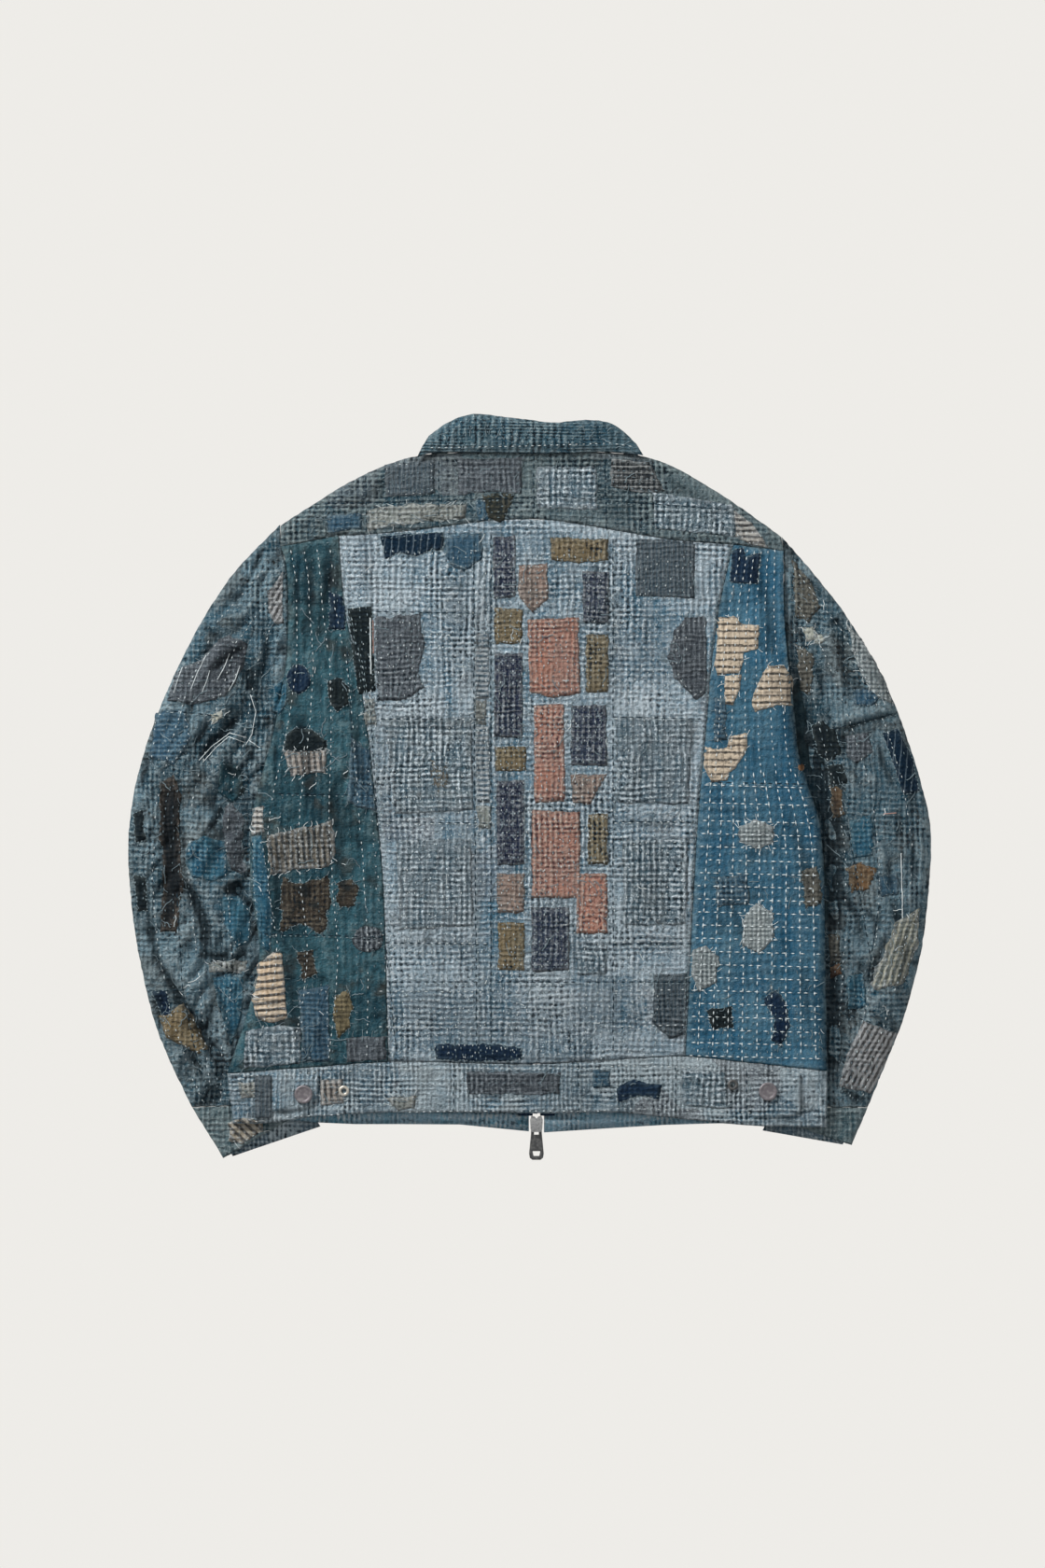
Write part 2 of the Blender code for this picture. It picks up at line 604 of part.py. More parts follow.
def strip(name, x0, x1, y_top, y_low, low, thick, material, rows=22):
    grid = [[(x0, y_top + (y_low - y_top) * v), (x1, y_top + (y_low - y_top) * v)] for v in even(rows)]
    wall(name, grid, low, thick, material)


def zip_parts():
    tape, metal = cloth("tape"), mat("zip_metal", (0.45, 0.46, 0.46), 0.4, 0.9)
    y_top = SLIDER_Y["top"] - SLIDER_L / 2 - 0.4
    y_low = SLIDER_Y["bottom"] + SLIDER_L / 2 + 0.4
    strip("zip_teeth", MID - 3, MID + 3, y_top, y_low, lambda p: front_low((MID, p[1])) + 0.5, 2.6, metal)
    for side, sign in (("left", -1), ("right", 1)):
        strip("zip_tape_" + side, MID + sign * 3.4, MID + sign * 17, y_top, y_low,
              lambda p: front_low((MID, p[1])) + 2.65, THIN, tape)


def slider(name, y):
    """Die-cast body with a strap over its outer face, which holds the pull."""
    metal = mat("slider_metal", (0.5, 0.5, 0.5), 0.38, 0.9)
    hw, hl, nose = SLIDER_W / 2, SLIDER_L / 2, SLIDER_W / 2 - 1.6
    outline = [(-nose, -hl), (nose, -hl), (hw - 0.5, -hl + 2.5), (hw, hl - 3.5), (hw - 1.2, hl),
               (1.6, hl - 0.6), (0, hl - 2.4), (-1.6, hl - 0.6), (-hw + 1.2, hl), (-hw, hl - 3.5),
               (-hw + 0.5, -hl + 2.5)]
    ob = add(name, extruded([(MID + a, y + b) for a, b in outline], 3.2, 7.0), metal)
    bm = bmesh.new()
    path = [(4.6, 3.6), (4.6, 1.3), (3.5, 0.25), (-3.5, 0.25), (-4.6, 1.3), (-4.6, 3.6),
            (-3.5, 3.6), (-3.5, 1.6), (-3.2, 1.35), (3.2, 1.35), (3.5, 1.6), (3.5, 3.6)]
    sides = [[bm.verts.new(Vector((MID + s * 1.1, y - 1.5 + a, b)) * MM) for a, b in path] for s in (-1, 1)]
    n = len(path)
    for k in range(n):
        m = (k + 1) % n
        bm.faces.new((sides[0][k], sides[0][m], sides[1][m], sides[1][k]))
    bm.faces.new(sides[0])
    bm.faces.new(sides[1])
    strap = add(name + "_strap", bm, metal)
    mod = ob.modifiers.new("strap", "BOOLEAN")
    mod.operation, mod.solver, mod.object = "UNION", "EXACT", strap
    strap.hide_render, strap.display_type = True, "WIRE"


def pull(name, y, colour):
    """Pull tab: an eye bar held by the strap, a window and a flat grip with a slot."""
    bm = bmesh.new()
    axis_y, axis_z = y - 3.0 + 0.0, 2.28
    half = [(-5.0, 0.65), (-5.0, -6.0), (-PULL_WIDE / 2, -PULL_LONG + 6), (-PULL_WIDE / 2 + 0.6, -PULL_LONG + 2),
            (-PULL_WIDE / 2 + 3, -PULL_LONG)]
    ring = half + [(-a, b) for a, b in reversed(half)]
    holes = [[(-2.2, -0.65), (2.2, -0.65), (2.2, -7.2), (-2.2, -7.2)],
             [(-3.6, -PULL_LONG + 8), (3.6, -PULL_LONG + 8), (2.6, -PULL_LONG + 3.6), (-2.6, -PULL_LONG + 3.6)]]
    m = mat("pull_metal_" + name, colour, 0.45, 0.85)
    bm.free()
    plate = add(name, extruded([(a, b) for a, b in ring], -0.65, 0.65), m)
    for k, hole in enumerate(holes):
        cut = add("%s_cut_%d" % (name, k), extruded(hole, -3, 3), m)
        cut.location = Vector((MID, axis_y, axis_z)) * MM
        cut.hide_render, cut.display_type = True, "WIRE"
        mod = plate.modifiers.new("cut%d" % k, "BOOLEAN")
        mod.operation, mod.solver, mod.object = "DIFFERENCE", "EXACT", cut
    plate.location = Vector((MID, axis_y, axis_z)) * MM


def buttons(under):
    metal = mat("button_metal", (0.3, 0.27, 0.29), 0.5, 0.8)
    brass = mat("eyelet_metal", (0.62, 0.58, 0.5), 0.4, 0.8)
    r = BUTTON_D / 2
    for side in ("left", "right"):
        c = BUTTON[side]
        z = under(c, r * 0.9) + LIE
        turned("tack_button_" + side, c, z, [(0, 0), (r - 1.2, 0), (r, 0.9), (r, 1.9), (r - 0.8, 2.6),
                                            (r - 2.4, 2.4), (r - 3.0, 2.0), (0, 2.2)], 24, metal)
        c = EYELET[side]
        r_e = EYELET_D / 2
        z = under(c, r_e) + LIE
        turned("eyelet_" + side, c, z, [(2.4, 0), (r_e, 0), (r_e, 0.6), (r_e - 0.9, 1.3), (2.9, 1.3),
                                       (2.4, 0.8)], 20, brass)


def main():
    clear_scene()
    edge, join, hem = back_panels()
    yoke(join)
    waistband_back(hem)
    fronts(edge)
    for side in ("left", "right"):
        sleeve(side, edge)
    collar()
    zip_parts()
    slider("slider_bottom", SLIDER_Y["bottom"])
    slider("slider_top", SLIDER_Y["top"])
    pull("pull_bottom", SLIDER_Y["bottom"], (0.12, 0.12, 0.12))
    pull("pull_top", SLIDER_Y["top"], (0.12, 0.12, 0.12))
    objects = bpy.data.objects
    back = tops(*[objects[n] for n in ("back_side_left", "back_centre", "back_side_right",
                                       "sleeve_left", "sleeve_right", "waistband_back")])
    for name, look, corners in PATCHES:
        laid_on(name, corners, back, 9.0 if "sleeve" in name else 13.0, THIN, cloth(look))
    for name, corners in TABS:
        laid_on(name, corners, back, 10.0, 1.6, cloth("grey"))
    on_band = tops(*[objects[n] for n in ("waistband_back", "tab_left", "tab_right", "loop_left")])
    buttons(on_band)
    for ob in objects:
        ob.location += Vector((*CENTRE, 0)) * MM


main()
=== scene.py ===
"""Looks of a patched boro jacket that lies flat on its front, back up.

Outlines are in pattern units of 0.863 mm, x to the right and y down the
jacket, as the back was charted.  Heights and widths are in millimetres.
"""
import math
import random

import bmesh
import bpy
import numpy as np
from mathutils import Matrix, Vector, kdtree, noise
from mathutils.bvhtree import BVHTree


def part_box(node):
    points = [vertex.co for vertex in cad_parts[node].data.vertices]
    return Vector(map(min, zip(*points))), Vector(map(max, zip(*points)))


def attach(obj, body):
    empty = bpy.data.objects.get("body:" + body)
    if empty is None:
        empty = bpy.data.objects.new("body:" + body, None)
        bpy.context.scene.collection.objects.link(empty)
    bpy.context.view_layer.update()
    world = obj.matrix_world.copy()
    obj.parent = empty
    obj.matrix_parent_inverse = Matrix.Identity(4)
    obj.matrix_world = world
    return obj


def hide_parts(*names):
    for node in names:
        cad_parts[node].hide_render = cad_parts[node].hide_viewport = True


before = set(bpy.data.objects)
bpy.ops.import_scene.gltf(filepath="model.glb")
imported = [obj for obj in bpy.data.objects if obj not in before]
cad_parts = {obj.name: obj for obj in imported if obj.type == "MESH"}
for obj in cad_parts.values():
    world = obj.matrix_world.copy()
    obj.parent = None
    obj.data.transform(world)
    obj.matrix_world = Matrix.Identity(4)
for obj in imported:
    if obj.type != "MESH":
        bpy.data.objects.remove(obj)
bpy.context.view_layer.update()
MM = 0.001
UNIT = 0.000863


CHART_MIDDLE = (568, 841.5)
CHART_SHIFT = (0.0006, 0.00094)
SQUARE = ((-1, -1), (1, -1), (1, 1), (-1, 1))


def at(x, y):
    """A charted point in metres on the table."""
    return ((x - CHART_MIDDLE[0]) * UNIT + CHART_SHIFT[0],
            (CHART_MIDDLE[1] - y) * UNIT + CHART_SHIFT[1])


def pairs(flat):
    return list(zip(flat[0::2], flat[1::2]))


def part_way(a, b, k, n=1):
    return a[0] + (b[0] - a[0]) * k / n, a[1] + (b[1] - a[1]) * k / n


def centre_of(points):
    return sum(p[0] for p in points) / len(points), sum(p[1] for p in points) / len(points)


# A pale table top under flat, even light: a big soft lamp from the upper left
# brings out the folds, and the sky fills the shadows.
table = bpy.data.meshes.new("table")
TABLE_REACH = 14.0
TABLE_Z = -0.0006
table.from_pydata([(x * TABLE_REACH, y * TABLE_REACH, TABLE_Z) for x, y in SQUARE], [], [(0, 1, 2, 3)])
table_ob = bpy.data.objects.new("table", table)
bpy.context.scene.collection.objects.link(table_ob)
table_mat = bpy.data.materials.new("table")
table_mat.use_nodes = True
# seen from below the table is clear
shade = table_mat.node_tree
shade.nodes.clear()
glow = shade.nodes.new("ShaderNodeEmission")
glow.inputs["Color"].default_value = (0.855, 0.84, 0.807, 1)
side = shade.nodes.new("ShaderNodeNewGeometry")
clear = shade.nodes.new("ShaderNodeBsdfTransparent")
either = shade.nodes.new("ShaderNodeMixShader")
shade.links.new(side.outputs["Backfacing"], either.inputs[0])
shade.links.new(glow.outputs[0], either.inputs[1])
shade.links.new(clear.outputs[0], either.inputs[2])
shade.links.new(either.outputs[0], shade.nodes.new("ShaderNodeOutputMaterial").inputs["Surface"])
table.materials.append(table_mat)

CAMERA_AT = (-0.0063, 0.0023, 3.431)
camera = bpy.data.cameras.new("camera")
camera.lens = 85
camera.sensor_fit = "VERTICAL"
camera.sensor_height = 36
camera_ob = bpy.data.objects.new("camera", camera)
camera_ob.location = CAMERA_AT
bpy.context.scene.collection.objects.link(camera_ob)
bpy.context.scene.camera = camera_ob

LAMPS = [
    # name, place, width, watts
    ("key", (-1.9, 1.9, 1.4), 0.7, 125), ("side", (1.9, 0.4, 1.6), 1.4, 10),
]
SKY_STRENGTH = 0.42
for lamp_name, place, width, power in LAMPS:
    lamp = bpy.data.lights.new(lamp_name, "AREA")
    lamp.size = width
    lamp.energy = power
    lamp_ob = bpy.data.objects.new(lamp_name, lamp)
    lamp_ob.location = place
    lamp_ob.rotation_euler = (-Vector(place)).to_track_quat("-Z", "Y").to_euler()
    bpy.context.scene.collection.objects.link(lamp_ob)
world = bpy.data.worlds.new("sky")
world.use_nodes = True
world.node_tree.nodes["Background"].inputs[0].default_value = (0.95, 0.97, 1.0, 1)
world.node_tree.nodes["Background"].inputs[1].default_value = SKY_STRENGTH
bpy.context.scene.world = world
bpy.context.scene.view_settings.view_transform = "Standard"


# Shader parts that all the cloths share: threads, puckers, bands, stripes
# and small woven crosses, each a node group with named inputs.
def node(tree, kind, inputs=None, **settings):
    made = tree.nodes.new(kind)
    for key, value in settings.items():
        setattr(made, key, value)
    for key, value in (inputs or {}).items():
        if isinstance(value, bpy.types.NodeSocket):
            tree.links.new(value, made.inputs[key])
        else:
            made.inputs[key].default_value = value
    return made


def maths(tree, kind, a, b=0.0, clamp=False):
    return node(tree, "ShaderNodeMath", {0: a, 1: b}, operation=kind, use_clamp=clamp).outputs[0]


def times(tree, a, b):
    return maths(tree, "MULTIPLY", a, b)


def plus(tree, a, b):
    return maths(tree, "ADD", a, b)


def step(tree, value, low, high):
    made = node(tree, "ShaderNodeMapRange", {"Value": value, "From Min": low, "From Max": high},
                interpolation_type="SMOOTHSTEP")
    return made.outputs[0]


def blobs(tree, vector, scale, stretch=(1, 1, 1), detail=3.0, rough=0.55):
    moved = node(tree, "ShaderNodeMapping", {"Vector": vector, "Scale": stretch}).outputs[0]
    made = node(tree, "ShaderNodeTexNoise", {"Vector": moved, "Scale": scale, "Detail": detail,
                                             "Roughness": rough})
    return made.outputs["Fac"]


def new_group(name, inputs, outputs):
    tree = bpy.data.node_groups.new(name, "ShaderNodeTree")
    for label, kind, value in inputs:
        made = tree.interface.new_socket(label, in_out="INPUT", socket_type="NodeSocket" + kind)
        if value is not None:
            made.default_value = value
    for label, kind in outputs:
        tree.interface.new_socket(label, in_out="OUTPUT", socket_type="NodeSocket" + kind)
    return tree, tree.nodes.new("NodeGroupInput").outputs, tree.nodes.new("NodeGroupOutput").inputs


def threads_group():
    tree, put, out = new_group("threads", [("Vector", "Vector", None), ("Coarse", "Float", 1.0)],
                               [("Warp", "Float"), ("Weft", "Float"), ("Height", "Float")])
    warp = blobs(tree, put["Vector"], 1.0, (620, 75, 1), 2.0)
    weft = blobs(tree, put["Vector"], 1.0, (75, 620, 1), 2.0)
    fine = blobs(tree, put["Vector"], 1500, detail=1.0)
    tree.links.new(step(tree, warp, 0.45, 0.72), out["Warp"])
    tree.links.new(step(tree, weft, 0.45, 0.72), out["Weft"])
    both = times(tree, plus(tree, warp, weft), put["Coarse"])
    tree.links.new(plus(tree, both, times(tree, fine, 0.5)), out["Height"])
    return tree


def puckers_group():
    tree, put, out = new_group("puckers", [("Vector", "Vector", None), ("Pitch X", "Float", 0.0048),
                                           ("Pitch Y", "Float", 0.0048), ("Grain", "Float", 7.0)],
                               [("Light", "Float"), ("Dark", "Float"), ("Fleck", "Float"),
                                ("Height", "Float")])
    split = node(tree, "ShaderNodeSeparateXYZ", {0: put["Vector"]})
    waves = []
    for axis, pitch, spot, ways in ((0, "Pitch X", 21, (58, 9, 1)), (1, "Pitch Y", 17, (8, 52, 1))):
        drift = blobs(tree, put["Vector"], spot, detail=2.0)
        turns = plus(tree, maths(tree, "DIVIDE", split.outputs[axis], put[pitch]),
                      times(tree, drift, 1.7))
        share = step(tree, blobs(tree, put["Vector"], 1.0, ways, 2.0), 0.36, 0.62)
        wave = maths(tree, "COSINE", times(tree, turns, 2 * math.pi))
        waves.append(times(tree, wave, plus(tree, share, 0.25)))
    both = times(tree, plus(tree, waves[0], waves[1]), 0.72)
    grain = maths(tree, "SUBTRACT", blobs(tree, put["Vector"], 290, detail=4.0, rough=0.65), 0.5)
    ragged = plus(tree, both, times(tree, grain, put["Grain"]))
    cloud = plus(tree, step(tree, blobs(tree, put["Vector"], 19, detail=4.0), 0.4, 0.62), 0.5)
    light = times(tree, step(tree, ragged, 0.2, 1.3), cloud)
    dark = times(tree, step(tree, times(tree, ragged, -1.0), 0.2, 1.3), cloud)
    dots = blobs(tree, put["Vector"], 520.0, detail=2.0, rough=0.7)
    flecks = times(tree, step(tree, dots, 0.56, 0.66), step(tree, both, -0.5, 0.8))
    tree.links.new(flecks, out["Fleck"])
    tree.links.new(light, out["Light"])
    tree.links.new(dark, out["Dark"])
    tree.links.new(ragged, out["Height"])
    return tree


def bands_group():
    tree, put, out = new_group("bands", [("Vector", "Vector", None), ("Fineness", "Float", 45.0)],
                               [("Down", "Float"), ("Across", "Float"), ("Cloud", "Float"),
                                ("Block", "Float")])
    scaled = node(tree, "ShaderNodeVectorMath", {0: put["Vector"], "Scale": put["Fineness"]},
                  operation="SCALE").outputs[0]
    down = blobs(tree, scaled, 1.0, (1, 0.06, 1), 2.0, 0.6)
    across = blobs(tree, scaled, 1.0, (0.06, 1, 1), 2.0, 0.6)
    tree.links.new(step(tree, down, 0.42, 0.6), out["Down"])
    tree.links.new(step(tree, across, 0.44, 0.62), out["Across"])
    tree.links.new(step(tree, blobs(tree, scaled, 0.5, detail=4.0), 0.42, 0.62), out["Cloud"])
    pieces = node(tree, "ShaderNodeTexVoronoi", {"Vector": put["Vector"], "Scale": 17.0,
                                                 "Randomness": 0.75}, distance="CHEBYCHEV")
    chance = node(tree, "ShaderNodeSeparateColor", {0: pieces.outputs["Color"]}).outputs[0]
    tree.links.new(chance, out["Block"])
    return tree


def stripes_group():
    tree, put, out = new_group("stripes", [("Vector", "Vector", None), ("Angle", "Float", 0.0),
                                           ("Pitch", "Float", 0.0066), ("Width", "Float", 0.3),
                                           ("Wobble", "Float", 0.12)], [("Mask", "Float")])
    turned = node(tree, "ShaderNodeVectorRotate", {"Vector": put["Vector"], "Angle": put["Angle"]},
                  rotation_type="Z_AXIS").outputs[0]
    along = node(tree, "ShaderNodeSeparateXYZ", {0: turned}).outputs[0]
    drift = times(tree, blobs(tree, put["Vector"], 110, detail=3.0), put["Wobble"])
    turns = plus(tree, maths(tree, "DIVIDE", along, put["Pitch"]),
                  times(tree, drift, 4.0))
    place = maths(tree, "FRACT", turns)
    far = maths(tree, "ABSOLUTE", maths(tree, "SUBTRACT", place, 0.5))
    half = times(tree, put["Width"], 0.5)
    soft = maths(tree, "DIVIDE", maths(tree, "SUBTRACT", half, far), 0.09)
    tree.links.new(maths(tree, "ADD", soft, 0.5, clamp=True), out["Mask"])
    return tree


def crosses_group():
    tree, put, out = new_group("crosses", [("Vector", "Vector", None), ("Pitch", "Float", 0.011)],
                               [("Mask", "Float")])
    split = node(tree, "ShaderNodeSeparateXYZ", {0: put["Vector"]})
    ways = []
    for axis in (0, 1):
        cell = maths(tree, "FRACT", maths(tree, "DIVIDE", split.outputs[axis], put["Pitch"]))
        ways.append(maths(tree, "ABSOLUTE", maths(tree, "SUBTRACT", cell, 0.5)))
    arms = []
    for thin, long in ((0, 1), (1, 0)):
        a = maths(tree, "LESS_THAN", ways[thin], 0.075)
        b = maths(tree, "LESS_THAN", ways[long], 0.24)
        arms.append(times(tree, a, b))
    grain = step(tree, blobs(tree, put["Vector"], 420), 0.36, 0.5)
    tree.links.new(times(tree, maths(tree, "MAXIMUM", *arms), grain), out["Mask"])
    return tree


GROUPS = {"threads": threads_group(), "puckers": puckers_group(), "bands": bands_group(),
          "stripes": stripes_group(), "crosses": crosses_group()}


def use(tree, name, **inputs):
    made = tree.nodes.new("ShaderNodeGroup")
    made.node_tree = GROUPS[name]
    for key, value in inputs.items():
        label = key.replace("_", " ")
        if isinstance(value, bpy.types.NodeSocket):
            tree.links.new(value, made.inputs[label])
        else:
            made.inputs[label].default_value = value
    return made.outputs


def mix(tree, amount, a, b):
    made = node(tree, "ShaderNodeMix", data_type="RGBA")
    for socket, value in zip((made.inputs[0], made.inputs[6], made.inputs[7]), (amount, a, b)):
        if isinstance(value, bpy.types.NodeSocket):
            tree.links.new(value, socket)
        else:
            socket.default_value = value if isinstance(value, float) else (*value, 1)
    return made.outputs[2]


def glaze(tree, colour, mask, amount, paint):
    return mix(tree, times(tree, mask, amount), colour, paint)


# near black of the painted shade that the fold attribute lays on
PAINTED_SHADE = (0.007, 0.012, 0.016)
BUMP_DEPTH = 0.0016


def cloth(name, base, second, pale=(0.5, 0.53, 0.53), dark=(0.012, 0.02, 0.028), thread=0.3,
          bands=(45.0, 0.5), pitch=(4.9, 4.6), pucker=(0.3, 0.45), stripes=(), crosses=None,
          stain=None, bump=0.5, rim=0.35, fold_shade=0.9, wear_and_highlight=0.4, blocks=0.0, flecks=0.3,
          accent=(0.15, 0.155, 0.17)):
    """One worn cotton: ground and second colour in bands, threads, puckers, stripes and wear, with painted
    shade in folds and painted highlight on ridges.
    """
    mat = bpy.data.materials.new(name)
    mat.use_nodes = True
    tree = mat.node_tree
    shader = tree.nodes["Principled BSDF"]
    where = node(tree, "ShaderNodeTexCoord").outputs["Object"]
    band = use(tree, "bands", Vector=where, Fineness=bands[0])
    thr = use(tree, "threads", Vector=where)
    colour = glaze(tree, base, band["Cloud"], bands[1], second)
    colour = glaze(tree, colour, band["Down"], bands[1] * 0.8, second)
    colour = glaze(tree, colour, band["Across"], bands[1] * 0.45, base)
    block = band["Block"]
    rest = maths(tree, "SUBTRACT", 1.0, block)
    some = times(tree, step(tree, block, 0.4, 0.42), step(tree, rest, 0.46, 0.48))
    colour = glaze(tree, colour, some, blocks * 1.3, accent)
    colour = glaze(tree, colour, step(tree, block, 0.6, 0.63), blocks, tuple(c * 1.3 for c in second))
    colour = glaze(tree, colour, step(tree, rest, 0.62, 0.65), blocks, tuple(c * 0.6 for c in base))
    height = times(tree, thr["Height"], 0.5)
    for turn, apart, width, tint, amount in stripes:
        mask = use(tree, "stripes", Vector=where, Angle=math.radians(turn), Pitch=apart * MM,
                   Width=width)["Mask"]
        colour = glaze(tree, colour, mask, amount, tint)
        height = maths(tree, "SUBTRACT", height, times(tree, mask, 0.25))
    if crosses:
        mask = use(tree, "crosses", Vector=where, Pitch=crosses[0] * MM)["Mask"]
        colour = glaze(tree, colour, mask, 0.85, crosses[1])
    colour = glaze(tree, colour, thr["Warp"], thread, pale)
    colour = glaze(tree, colour, thr["Weft"], thread * 0.7, pale)
    if pucker:
        puck = use(tree, "puckers", Vector=where, Pitch_X=pitch[0] * MM, Pitch_Y=pitch[1] * MM)
        colour = glaze(tree, colour, puck["Light"], pucker[0], pale)
        colour = glaze(tree, colour, puck["Dark"], pucker[1], dark)
        colour = glaze(tree, colour, puck["Fleck"], flecks, tuple(c * 1.3 for c in pale))
        height = plus(tree, height, times(tree, puck["Height"], 0.9))
    if stain:
        cloud = step(tree, blobs(tree, where, stain[1], detail=4.0), 0.52, 0.66)
        colour = glaze(tree, colour, cloud, stain[2], stain[0])
    # The fold attribute is painted shade, near black in creases, hollows, gaps and turned-down edges; the
    # wear attribute is rubbed wear with painted highlight on ridges; rim is frayed pale edges.
    worn, shade_mask, edge = (node(tree, "ShaderNodeAttribute", attribute_name=layer).outputs["Fac"]
                        for layer in ("wear_and_highlight", "fold_shade", "rim"))
    rubbed = times(tree, worn, step(tree, blobs(tree, where, 240), 0.38, 0.6))
    frayed = times(tree, edge, step(tree, blobs(tree, where, 170), 0.4, 0.62))
    for mask, amount, paint in ((rubbed, wear_and_highlight, pale), (shade_mask, fold_shade, PAINTED_SHADE), (frayed, rim, pale)):
        colour = glaze(tree, colour, mask, amount, paint)
    tree.links.new(colour, shader.inputs["Base Color"])
    shader.inputs["Roughness"].default_value = 0.93
    shader.inputs["Specular IOR Level"].default_value = 0.08
    lump = node(tree, "ShaderNodeBump", {"Strength": bump, "Distance": BUMP_DEPTH, "Height": height})
    tree.links.new(lump.outputs[0], shader.inputs["Normal"])
    return mat


